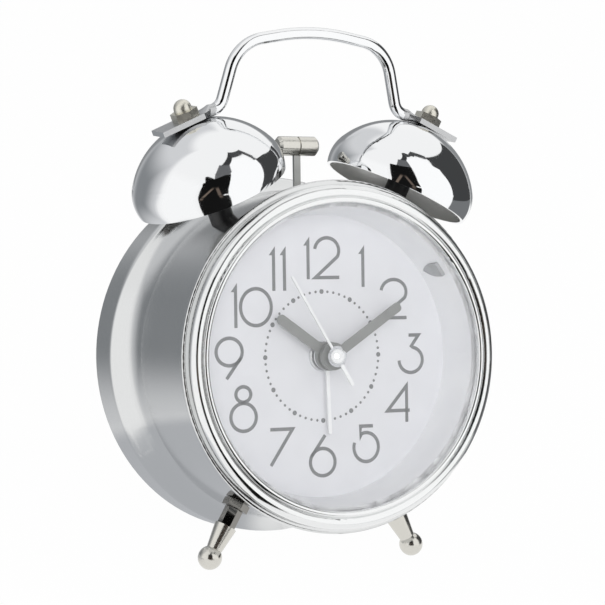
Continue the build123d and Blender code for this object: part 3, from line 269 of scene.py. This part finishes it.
# %% [markdown]
# ## Glass
# The glass is flat window glass: clear, with a weak reflection over the dial. A plain glass shader
# would keep the lamp's light from the dial behind it, which then gets dark. So light that only
# passes on its way to the dial goes straight through, and the eye still sees real glass.

# %% Make the glass
flat_glass, tree = blank("flat_glass")
path = add(tree, "ShaderNodeLightPath")
pane = add(
    tree,
    "ShaderNodeBsdfPrincipled",
    {"Base Color": linear("#ffffff"), "Roughness": 0.0, "IOR": 1.45, "Transmission Weight": 1.0},
)
clear = add(tree, "ShaderNodeBsdfTransparent")
passing = add(
    tree,
    "ShaderNodeMath",
    links={0: path.outputs["Is Shadow Ray"], 1: path.outputs["Is Diffuse Ray"]},
    operation="MAXIMUM",
)
mixed = add(
    tree,
    "ShaderNodeMixShader",
    links={"Fac": passing.outputs["Value"], 1: pane.outputs["BSDF"], 2: clear.outputs["BSDF"]},
)
add(tree, "ShaderNodeOutputMaterial", links={"Surface": mixed.outputs["Shader"]})
print("glass made")

# %% [markdown]
# ## Card, ink, lacquer and moulded plastic
# The pieces that aren't bare metal are nearly one colour, and a flat colour looks like paper cut
# out. A small drift between two close colours and a fine grain in the surface are enough to make
# each look like its own stuff, so one function makes all of them.

# %% A plain finish
DRIFT_SPAN = (0.35, 0.65)
GRAIN_DEPTH = 0.05


def coated(name, colours, roughness, drift_mm, grain_mm, grain):
    """Non-metal: two close colours that drift over drift_mm, and a grain of grain_mm."""
    material, tree = blank(name)
    place = add(tree, "ShaderNodeTexCoord").outputs["Object"]
    drift = add(tree, "ShaderNodeTexNoise", {"Scale": per(drift_mm), "Detail": 3.0}, {"Vector": place})
    ramp = add(tree, "ShaderNodeValToRGB", links={"Fac": drift.outputs["Fac"]})
    for stop, position, colour in zip(ramp.color_ramp.elements, DRIFT_SPAN, colours):
        stop.position = position
        stop.color = linear(colour)
    tooth = add(tree, "ShaderNodeTexNoise", {"Scale": per(grain_mm), "Detail": 2.0}, {"Vector": place})
    bump = add(
        tree,
        "ShaderNodeBump",
        {"Strength": grain, "Distance": GRAIN_DEPTH * MM},
        {"Height": tooth.outputs["Fac"]},
    )
    shader = add(
        tree,
        "ShaderNodeBsdfPrincipled",
        {"Roughness": roughness},
        {"Base Color": ramp.outputs["Color"], "Normal": bump.outputs["Normal"]},
    )
    add(tree, "ShaderNodeOutputMaterial", links={"Surface": shader.outputs["BSDF"]})
    return material


print("colours drift over", *DRIFT_SPAN)

# %% [markdown]
# The dial is printed card. The wall round it is moulded, and so is the small window of the night
# light in it. The hands are stamped from sheet and lacquered. Card, wall and hands all look white
# or grey by themselves, but side by side each has its own tone.

# %% Make the finishes of the dial
# Printed card: a cool near white without any shine
dial_card = coated("dial_card", ("#d5d6da", "#d8d9dd"), 0.55, drift_mm=8, grain_mm=0.25, grain=0.15)
# Moulded polystyrene: lighter and smoother than the card, with a weak sheen
wall_styrene = coated(
    "wall_styrene", ("#e5e6e9", "#e9eaec"), 0.4, drift_mm=10, grain_mm=0.5, grain=0.08
)
# Printing ink: a flat mid grey without shine
print_grey = coated("print_grey", ("#717375", "#77797b"), 0.5, drift_mm=3, grain_mm=0.2, grain=0.1)
# Grey lacquer on stamped sheet: even, with a soft sheen
hand_grey = coated(
    "hand_lacquer_grey", ("#7d7f7e", "#838584"), 0.38, drift_mm=4, grain_mm=0.3, grain=0.08
)
# White lacquer on stamped sheet: thin bright lines over the grey print
hand_white = coated(
    "hand_lacquer_white", ("#e3e4e6", "#e8e9ea"), 0.35, drift_mm=4, grain_mm=0.3, grain=0.05
)
# Moulded milky acrylic: a smooth grey pane that hides the lamp behind it
milky_acrylic = coated(
    "milky_acrylic", ("#9a9c9e", "#a4a6a8"), 0.25, drift_mm=4, grain_mm=0.6, grain=0.05
)
print("dial finishes made")

# %% [markdown]
# The back and the movement are moulded. The grain of a mould and the turns of a winding are finer
# than a dot of the picture, and are drawn coarser so that they show.

# %% Make the finishes of the back and the inside
# ABS from a grained mould: near black, and its grain breaks up every highlight
black_abs = coated("black_abs", ("#1c1c1e", "#212123"), 0.5, drift_mm=6, grain_mm=0.35, grain=0.6)
# ABS from a smooth mould: as black, with a soft highlight along each edge
satin_abs = coated(
    "satin_black_abs", ("#19191b", "#1d1d1f"), 0.36, drift_mm=5, grain_mm=0.5, grain=0.2
)
# Acetal as it leaves the mould: waxy and off white
natural_acetal = coated(
    "natural_acetal", ("#dcd9cf", "#e2dfd6"), 0.42, drift_mm=3, grain_mm=0.4, grain=0.1
)
# Wound enamelled copper wire: a red brown with a broken sheen
enamelled_wire = coated(
    "enamelled_wire", ("#8f4a24", "#a65a2e"), 0.32, drift_mm=1, grain_mm=0.25, grain=0.6
)
# Board laminate under solder mask: dark green, half glossy
board_laminate = coated(
    "board_laminate", ("#1d5a34", "#23653b"), 0.4, drift_mm=2, grain_mm=0.3, grain=0.2
)
# Cast resin of the lamp: pale yellow and glossy
lamp_resin = coated("lamp_resin", ("#e8e0b8", "#efe8c6"), 0.2, drift_mm=2, grain_mm=0.3, grain=0.05)
print("finishes of back and inside made")

# %% [markdown]
# ## Which solid has which finish
# Finishes could be set piece by piece, but one table of them is easier to read and to change. The
# last line shows at once if a solid was forgotten.

# %% Give every solid its finish
FINISH = {
    spun_chrome: ["case_drum"],
    bezel_chrome: ["bezel"],
    bright_chrome: [
        "left_bell", "right_bell", "handle", "bell_posts", "bell_inner_nuts", "cover_screws",
        "second_cap",
    ],
    turned_nickel: ["left_foot", "right_foot", "hammer_head"],
    cast_nickel: ["acorn_nuts"],
    # The foot nuts' darkened colour is a painted dark reflection
    nickel_painted_dark: ["foot_nuts"],
    zinc_steel: [
        "hammer_arm", "hammer_pivot_pin", "hammer_clip", "striker_frame", "frame_screws", "motor",
        "crank", "dial_screws", "movement_screws", "stator", "battery_contacts", "motion_wheel",
        "alarm_pinion",
    ],
    turned_aluminium: ["centre_nut"],
    flat_glass: ["glass"],
    dial_card: ["dial"],
    wall_styrene: ["dial_ring"],
    milky_acrylic: ["light_window"],
    lamp_resin: ["night_lamp"],
    hand_grey: ["hour_hand", "minute_hand"],
    hand_white: ["alarm_hand", "second_hand"],
    black_abs: ["back_cover", "battery_door", "movement_front", "movement_rear", "train_bridge"],
    satin_abs: [
        "time_knob", "alarm_knob", "alarm_switch", "light_button", "alarm_switch_body",
        "light_switch_cup", "light_switch", "bell_spacers",
    ],
    natural_acetal: [
        "alarm_wheel", "hour_wheel", "cannon_pinion", "centre_wheel", "third_wheel",
        "second_wheel", "intermediate_wheel", "rotor",
    ],
    enamelled_wire: ["coil"],
    board_laminate: ["circuit_board"],
}
for material, names in FINISH.items():
    for name in names:
        mesh = nodes[name].data
        mesh.materials.clear()
        mesh.materials.append(material)
print("solids without a finish:", set(nodes) - {n for names in FINISH.values() for n in names})

# %% [markdown]
# The bells are polished on the outside only. Inside, the plating is thin over the dull pressed
# sheet. The bells could be split in two, but a mesh can carry two finishes, face by face. A face
# of the inside looks toward the middle of its bell, and one of the outside away from it.

# %% Dull the inside of the bells
for name in ("left_bell", "right_bell"):
    mesh = nodes[name].data
    mesh.materials.append(bare_bell_inside)
    middle = sum((v.co for v in mesh.vertices), Vector()) / len(mesh.vertices)
    for face in mesh.polygons:
        face.material_index = int(face.normal.dot(middle - face.center) > 0)
    print(name, "dull faces:", sum(face.material_index for face in mesh.polygons))

# %% [markdown]
# The handle's ends were pressed flat under the nuts before plating, which left them duller than
# the rod. Faces near a nut's middle belong to such an end.

# %% Dull the flat ends of the handle
TAB_REACH = 10.5
nut_points = [v.co for v in nodes["acorn_nuts"].data.vertices]
mesh = nodes["handle"].data
mesh.materials.append(pressed_chrome)
for side in (-1, 1):
    one_nut = [point for point in nut_points if point.x * side > 0]
    nut_middle = sum(one_nut, Vector()) / len(one_nut)
    for face in mesh.polygons:
        if (face.center - nut_middle).length < TAB_REACH * MM:
            face.material_index = 1
print("pressed faces:", sum(face.material_index for face in mesh.polygons))

# %% [markdown]
# The feet are nickel up to the end of the cone. Their hexagon shank above it looks nearly black,
# like the nut that locks it. Both get a darkened colour, which is a painted dark reflection, and
# their glossy flats also mirror the dark shape in front. How far a face is from the drum's axis
# tells which one it is on.

# %% Darken the shanks of the feet with a painted dark reflection
SHANK_END = 57.5
for name in ("left_foot", "right_foot"):
    mesh = nodes[name].data
    # The shank's darkened colour is a painted dark reflection
    mesh.materials.append(nickel_painted_dark)
    for face in mesh.polygons:
        arm = face.center - DIAL_CENTRE
        arm -= BACK * arm.dot(BACK)
        face.material_index = int(arm.length < SHANK_END * MM)
    print(name, "dark faces:", sum(face.material_index for face in mesh.polygons))

# %% [markdown]
# ## The printed numbers
# The numbers are thin geometric strokes in mid grey, printed on the card. A font would give other
# shapes, and a picture of the dial would blur when the camera comes near. So each number is drawn
# with a pen, as lines and arcs. An arc is a row of points, close enough to look round.

# %% Draw an arc
ARC_STEP = math.radians(6)


def arc(centre, radii, start, end):
    """Points of an ellipse from one angle to another, in degrees from +x."""
    first, last = math.radians(start), math.radians(end)
    count = max(2, int(abs(last - first) / ARC_STEP))
    turns = [first + (last - first) * i / count for i in range(count + 1)]
    return [(centre[0] + radii[0] * math.cos(t), centre[1] + radii[1] * math.sin(t)) for t in turns]


print("points of a half circle:", len(arc((0, 0), (1, 1), 0, 180)))

# %% [markdown]
# The pen gives a line its width. At a corner its two edges meet in a mitre. A very sharp corner
# would get a long spike, so the mitre is limited.

# %% Widen a line to the pen's width
PEN = 1.05
MITRE_SHARE = 0.35


def ribbon(points, width, closed):
    """Left and right edge of a line widened to width, with mitred corners."""
    line = [Vector(p) for p in points]
    left, right = [], []
    for i, point in enumerate(line):
        before = line[i - 1] if i or closed else point
        after = line[(i + 1) % len(line)] if i + 1 < len(line) or closed else point
        arriving = (point - before if point != before else after - point).normalized()
        leaving = (after - point).normalized() if after != point else arriving
        mitre = Vector((-arriving.y - leaving.y, arriving.x + leaving.x)).normalized()
        square = Vector((-arriving.y, arriving.x))
        reach = width / 2 / max(MITRE_SHARE, mitre.dot(square))
        left.append(point + mitre * reach)
        right.append(point - mitre * reach)
    return left, right


def quads(points, width, closed=False):
    """A widened line as a row of four-cornered outlines."""
    left, right = ribbon(points, width, closed)
    corners = list(zip(left, right))
    ends = corners[1:] + corners[:1] if closed else corners[1:]
    return [[a_left, a_right, b_right, b_left] for (a_left, a_right), (b_left, b_right) in zip(corners, ends)]


print("outlines of a square:", len(quads([(0, 0), (9, 0), (9, 9), (0, 9)], PEN, closed=True)))

# %% [markdown]
# The ink is a film a few hundredths of a millimetre thick on the card. Each number is one flat
# piece that rides on the case, a little in front of the dial's face.

# %% Lay ink on the dial
INK = 0.03


def print_mesh(name, shapes):
    """One flat printed piece from outlines on the dial, given in mm as (x, z) polygons."""
    verts, faces = [], []
    for outline in shapes:
        start = len(verts)
        verts += [on_clock(x, DIAL_FACE - INK, z) for x, z in outline]
        faces.append(range(start, len(verts)))
    mesh = bpy.data.meshes.new(name)
    mesh.from_pydata(verts, [], faces)
    mesh.materials.append(print_grey)
    piece = bpy.data.objects.new(name, mesh)
    bpy.context.collection.objects.link(piece)
    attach(piece, "case")
    return piece


print("ink thickness, mm:", INK)

# %% [markdown]
# Each digit is a list of strokes in a box that is one wide and one high, so the same two serves
# twice on the dial. Loops that close on themselves stop one step before a full turn.

# %% Strokes of the digits
LOOP = 354
STROKE_SHARES = {
    "2": [arc((0.5, 0.66), (0.46, 0.30), 172, -28) + [(0.05, 0.035), (0.97, 0.035)]],
    "3": [
        [(0.42, 0.965), (0.80, 0.965), (0.52, 0.695)]
        + arc((0.49, 0.35), (0.45, 0.315), 78, -178)
    ],
    "4": [[(0.87, 0.0), (0.87, 0.93), (0.06, 0.30), (1.0, 0.30)]],
    "5": [
        [(0.76, 0.955), (0.30, 0.955), (0.30, 0.70)] + arc((0.5, 0.41), (0.45, 0.375), 112, -200)
    ],
    "6": [[(0.60, 1.0), (0.095, 0.50)] + arc((0.5, 0.36), (0.45, 0.325), 155, 515)],
    "7": [[(0.03, 0.955), (0.93, 0.955), (0.04, 0.0)]],
    "8": [arc((0.5, 0.80), (0.26, 0.16), 0, LOOP), arc((0.5, 0.325), (0.445, 0.29), 0, LOOP)],
    "9": [[(0.40, 0.0), (0.905, 0.50)] + arc((0.5, 0.64), (0.45, 0.325), -25, 335)],
    "0": [arc((0.5, 0.5), (0.45, 0.46), 0, LOOP)],
}
CLOSED_DIGITS = "80"
print("digits drawn with the pen:", len(STROKE_SHARES))

# %% [markdown]
# A digit is set into its box on the dial by its left, right, lower and upper edge, in millimetres
# from the dial's centre. A one has a flag that comes to a point, which a pen of one width can't
# draw, so it is a filled outline.

# %% Set a digit into its box
FLAG_DROP = 2.7
FLAG_WIDTH = 2.1


def one(right, low, high):
    """Outline of a one whose stem's right edge is at right."""
    stem = right - PEN
    flag = high - FLAG_DROP
    return [
        [(stem, low), (right, low), (right, flag), (stem, flag)],
        [(right - FLAG_WIDTH, flag), (right, flag), (right, high)],
    ]


def digit(name, left, right, low, high):
    """Widened strokes of a round digit set into its box on the dial."""
    shapes = []
    for stroke in STROKE_SHARES[name]:
        points = [(left + (right - left) * x, low + (high - low) * z) for x, z in stroke]
        shapes += quads(points, PEN, name in CLOSED_DIGITS)
    return shapes


print("outlines of a seven:", len(digit("7", 0, 9, 0, 12)))

# %% [markdown]
# Twelve numbers stand round the dial. They aren't on one circle, and their widths differ, so each
# has a box of its own, measured in the picture.

# %% Print the numbers
NUMBERS = {
    "12": one(-3.9, 22.9, 35.6) + digit("2", -2.5, 6.4, 22.9, 35.7),
    "1": one(14.8, 20.4, 33.0),
    "2": digit("2", 20.1, 29.6, 10.5, 23.0),
    "3": digit("3", 26.1, 35.2, -6.2, 6.0),
    "4": digit("4", 21.7, 30.0, -20.7, -8.9),
    "5": digit("5", 9.9, 19.3, -32.5, -20.9),
    "6": digit("6", -5.0, 4.3, -36.1, -23.6),
    "7": digit("7", -18.1, -9.8, -32.0, -20.8),
    "8": digit("8", -31.3, -21.9, -21.9, -7.8),
    "9": digit("9", -35.8, -26.3, -6.0, 6.4),
    "10": one(-28.2, 8.9, 22.1) + digit("0", -27.7, -16.4, 9.0, 20.8),
    "11": one(-15.5, 19.6, 32.8) + one(-11.9, 19.6, 32.8),
}
for name, shapes in NUMBERS.items():
    print_mesh("number_" + name, shapes)
print("numbers printed:", len(NUMBERS))

# %% [markdown]
# ## The ring of minute dots
# Sixty small dots make the inner ring, with a larger one at each hour. They are printed in one go
# with the same ink, so they are one piece.

# %% Print the dots
DOT_RING = 19.2
HOUR_DOT = 0.72
MINUTE_DOT = 0.40
# The outline of a dot closes itself from here to its start
DOT_END = 340
dots = []
for minute in range(60):
    turn = math.radians(6 * minute)
    centre = (DOT_RING * math.sin(turn), DOT_RING * math.cos(turn))
    radius = MINUTE_DOT if minute % 5 else HOUR_DOT
    dots.append(arc(centre, (radius, radius), 0, DOT_END))
print_mesh("minute_dots", dots)
print("dots printed:", len(dots))

# %% [markdown]
# ## White for the eye, light for the clock
# Paper that is white in a picture is hard to get by lighting it: as much light would bleach the
# clock. So floor and room tell apart who looks at them. The eye, a reflection and the glass see
# plain white, and light on its way to the clock has its own level.

# %% Tell apart who looks


def seen_directly(tree):
    """Socket that is 1 for the eye, reflections and the view through glass, and else 0."""
    path = add(tree, "ShaderNodeLightPath")
    seen = add(
        tree,
        "ShaderNodeMath",
        links={0: path.outputs["Is Camera Ray"], 1: path.outputs["Is Glossy Ray"]},
        operation="MAXIMUM",
    )
    through = add(
        tree,
        "ShaderNodeMath",
        links={0: seen.outputs["Value"], 1: path.outputs["Is Transmission Ray"]},
        operation="MAXIMUM",
    )
    return through.outputs["Value"]


print("white is kept for eye, reflections and glass")

# %% [markdown]
# ## The floor
# A white floor runs into a white room. It is matt paper. Nearly all that is seen of it is plain
# white, and a small share of its own shading is left in, so the clock throws a faint shadow.

# %% Lay the floor
FLOOR_HALF = 3.0
GLOW_SHARE = 0.98
floor_mesh = bpy.data.meshes.new("floor")
floor_mesh.from_pydata(
    [(x * FLOOR_HALF, y * FLOOR_HALF, 0) for x, y in ((-1, -1), (1, -1), (1, 1), (-1, 1))],
    [],
    [(0, 1, 2, 3)],
)
floor = bpy.data.objects.new("floor", floor_mesh)
bpy.context.collection.objects.link(floor)
white_paper, tree = blank("white_paper")
matt = add(tree, "ShaderNodeBsdfDiffuse", {"Color": linear("#ffffff")})
glow = add(tree, "ShaderNodeEmission", {"Color": linear("#ffffff"), "Strength": 1.0})
white = add(
    tree, "ShaderNodeMath", {1: GLOW_SHARE}, {0: seen_directly(tree)}, operation="MULTIPLY"
)
sheet = add(
    tree,
    "ShaderNodeMixShader",
    links={"Fac": white.outputs["Value"], 1: matt.outputs["BSDF"], 2: glow.outputs["Emission"]},
)
add(tree, "ShaderNodeOutputMaterial", links={"Surface": sheet.outputs["Shader"]})
floor_mesh.materials.append(white_paper)
print("floor laid, metres wide:", 2 * FLOOR_HALF)

# %% [markdown]
# ## What the chrome sees
# Polished metal has hardly any colour of its own: it shows the room. A photograph of a studio
# wrapped round the scene would do, but its parts couldn't be moved alone. So each part of the
# room is a card bent round the clock, given by the directions that it fills as the bells see it:
# degrees of azimuth, with 0 in front of the dial and 90 at its right, and of height. Where a card
# would go under the floor it lies on it, the nearer ones on top. These lengths are in metres.

# %% Bend a card round the clock
MIDDLE = Vector((0, 0, 0.118))
CARD_FAR = 0.85
CARD_LIFT = 0.002
CARD_STEPS = 32
CARD_ROW = CARD_STEPS + 1


def card_point(corners, across, up, nearer):
    """Point of a card at shares across and up between its four corners."""
    weights = ((1 - across) * (1 - up), across * (1 - up), across * up, (1 - across) * up)
    turn = math.radians(sum(w * c[0] for w, c in zip(weights, corners)))
    climb = math.radians(sum(w * c[1] for w, c in zip(weights, corners)))
    out = Vector((math.sin(turn), -math.cos(turn), 0)) * math.cos(climb)
    out.z = math.sin(climb)
    reach = CARD_FAR - nearer
    if out.z < 0:
        reach = min(reach, (MIDDLE.z - CARD_LIFT - nearer * CARD_LIFT) / -out.z)
    return MIDDLE + out * reach


def card_mesh(name, corners, nearer):
    """Grid of small faces over a card."""
    steps = [i / CARD_STEPS for i in range(CARD_ROW)]
    verts = [card_point(corners, across, up, nearer) for across in steps for up in steps]
    starts = [i * CARD_ROW + k for i in range(CARD_STEPS) for k in range(CARD_STEPS)]
    mesh = bpy.data.meshes.new(name)
    mesh.from_pydata(verts, [], [(s, s + CARD_ROW, s + CARD_ROW + 1, s + 1) for s in starts])
    return mesh


print("faces of a card:", CARD_STEPS**2)

# %% [markdown]
# A card glows in one colour, so it looks the same from everywhere. Lamps and walls of a room have
# soft edges in the metal, so a card can fade out: each of its points carries how much of the paint
# covers it there, and the rest is clear.

# %% Paint a card


def fade_edges(mesh, fade):
    """Write each point's cover: 0 at an edge, 1 from a share fade of the half width inward."""
    cover = mesh.attributes.new("edge", "FLOAT", "POINT")
    for i in range(CARD_ROW):
        for k in range(CARD_ROW):
            inset = 2 * min(i, CARD_STEPS - i, k, CARD_STEPS - k) / CARD_STEPS
            ease = min(1, inset / fade)
            cover.data[i * CARD_ROW + k].value = ease * ease * (3 - 2 * ease)


def card_paint(name, colour, level, fades):
    """Glowing paint, clear where a fading card isn't covered."""
    material, tree = blank(name + "_paint")
    shade = add(tree, "ShaderNodeEmission", {"Color": linear(colour), "Strength": level})
    surface = shade.outputs["Emission"]
    if fades:
        edge = add(tree, "ShaderNodeAttribute", attribute_name="edge")
        clear = add(tree, "ShaderNodeBsdfTransparent")
        mixed = add(
            tree,
            "ShaderNodeMixShader",
            links={"Fac": edge.outputs["Fac"], 1: clear.outputs["BSDF"], 2: surface},
        )
        surface = mixed.outputs["Shader"]
    add(tree, "ShaderNodeOutputMaterial", links={"Surface": surface})
    return material


print("cards can be painted")

# %% [markdown]
# Only reflections see the cards. They give the clock no light and no shadow, so the dial stays as
# the lamp lights it.

# %% Hang a card


def card(name, colour, corners, level=1.0, nearer=0.0, fade=0.0):
    """Card between four (azimuth, height) corners: low left, low right, high right, high left."""
    mesh = card_mesh(name, corners, nearer)
    if fade:
        fade_edges(mesh, fade)
    mesh.materials.append(card_paint(name, colour, level, fade > 0))
    board = bpy.data.objects.new(name, mesh)
    bpy.context.collection.objects.link(board)
    board.visible_camera = False
    board.visible_diffuse = False
    board.visible_shadow = False
    board.visible_transmission = False


print("cards hang at, metres:", CARD_FAR)

# %% [markdown]
# Two large white lamps stand in front, one on each side. The right one has a dark housing round
# it, which draws the grey outline at the right of each bell.

# %% Hang the lamps
card("lamp_left", "#ffffff", [(-108, -60), (-40, -60), (-48, 36), (-106, 36)], level=1.05, fade=0.3)
card("lamp_right", "#ffffff", [(-8, -44), (62, -40), (63, 67), (-8, 67)], level=1.1, fade=0.06)
HOUSING = 0.02
card("housing_side", "#434445", [(60, -16), (116, -8), (122, 26), (62, 57)], nearer=HOUSING)
card("housing_low", "#77797b", [(58, -46), (122, -46), (116, -8), (60, -16)], nearer=HOUSING)
card("housing_top_left", "#3c3d3e", [(-26, 56), (-12, 54), (8, 68), (2, 77)], nearer=HOUSING)
card("housing_top", "#4a4b4c", [(2, 77), (8, 68), (50, 67), (58, 73)], nearer=HOUSING)
card("housing_corner", "#4a4b4c", [(50, 67), (60, 54), (66, 57), (58, 73)], nearer=HOUSING)
print("lamps hung")

# %% [markdown]
# Between the lamps, round the lens, is a tall dark shape with two lighter strips across it. It
# gives each bell its black patch, and with it most of what makes the bells look like chrome.

# %% Hang the dark shape
FIGURE = 0.03
STRIP = 0.05
STRIP_FADE = 0.5
card("figure_low", "#161616", [(-40, -64), (14, -56), (-3, 5), (-47, 5)], nearer=FIGURE)
card("figure", "#141414", [(-47, 5), (-3, 5), (-5, 41), (-49, 38)], nearer=FIGURE)
card("figure_sleeve", "#6a6b6d", [(-36, 38), (-5, 41), (-6, 58), (-30, 57)], nearer=FIGURE)
left_strip = [(-46, -18), (-40, -18), (-25, 16), (-30, 18)]
card("figure_left_arm", "#76695f", left_strip, nearer=STRIP, fade=STRIP_FADE)
right_strip = [(-11, -18), (-5, -16), (-22, 18), (-27, 16)]
card("figure_right_arm", "#6b5f57", right_strip, nearer=STRIP, fade=STRIP_FADE)
print("dark shape hung")

# %% [markdown]
# Behind the clock on the left the room falls off to grey, which the drum shows as its long dark
# band. A grey card behind on the right and a shade on the table do the same for the right bell and
# for the drum's underside.

# %% Hang the rest of the room
left_wall = [(-204, -60), (-106, -60), (-102, 66), (-200, 66)]
card("room_left", "#d9dadc", left_wall, nearer=-0.2, fade=0.2)
card("room_left_dark", "#888b8e", [(-190, -50), (-108, -50), (-108, 38), (-190, 38)], fade=0.75)
card("room_back", "#8c8e90", [(112, -14), (188, -14), (188, 22), (114, 26)], nearer=0.01, fade=0.3)
card("table_shade", "#c0c2c6", [(-215, -88), (-58, -88), (-62, -50), (-215, -50)], fade=0.25)
print("room hung")

# %% [markdown]
# ## Light
# The room gives about half of the light, soft and even. It could give all of it, but then the hands
# would lie flat on the dial.

# %% Light the room
ROOM_LIGHT = 0.58
world = bpy.data.worlds.new("white_room")
bpy.context.scene.world = world
world.use_nodes = True
tree = world.node_tree
tree.nodes.clear()
strength = add(
    tree,
    "ShaderNodeMath",
    {1: 1 - ROOM_LIGHT, 2: ROOM_LIGHT},
    {0: seen_directly(tree)},
    operation="MULTIPLY_ADD",
)
room = add(
    tree,
    "ShaderNodeBackground",
    {"Color": linear("#ffffff")},
    {"Strength": strength.outputs["Value"]},
)
add(tree, "ShaderNodeOutputWorld", links={"Surface": room.outputs["Background"]})
print("room light:", ROOM_LIGHT)

# %% [markdown]
# A large lamp in front and a little to the left lights the dial up to its edge and gives the hands
# a faint shadow. The metal already has its cards, so reflections don't see this lamp.

# %% Set up the lamp
LAMP_WATTS = 6.5
LAMP_WIDE = 0.8
LAMP_PLACE = Vector((-0.35, -1.05, 0.42))
lamp = bpy.data.lights.new("soft_lamp", "AREA")
lamp.energy = LAMP_WATTS
lamp.size = LAMP_WIDE
lamp_stand = bpy.data.objects.new("soft_lamp", lamp)
bpy.context.collection.objects.link(lamp_stand)
lamp_stand.location = LAMP_PLACE
lamp_stand.rotation_euler = (MIDDLE - LAMP_PLACE).to_track_quat("-Z", "Y").to_euler()
lamp_stand.visible_glossy = False
print("lamp watts:", LAMP_WATTS)
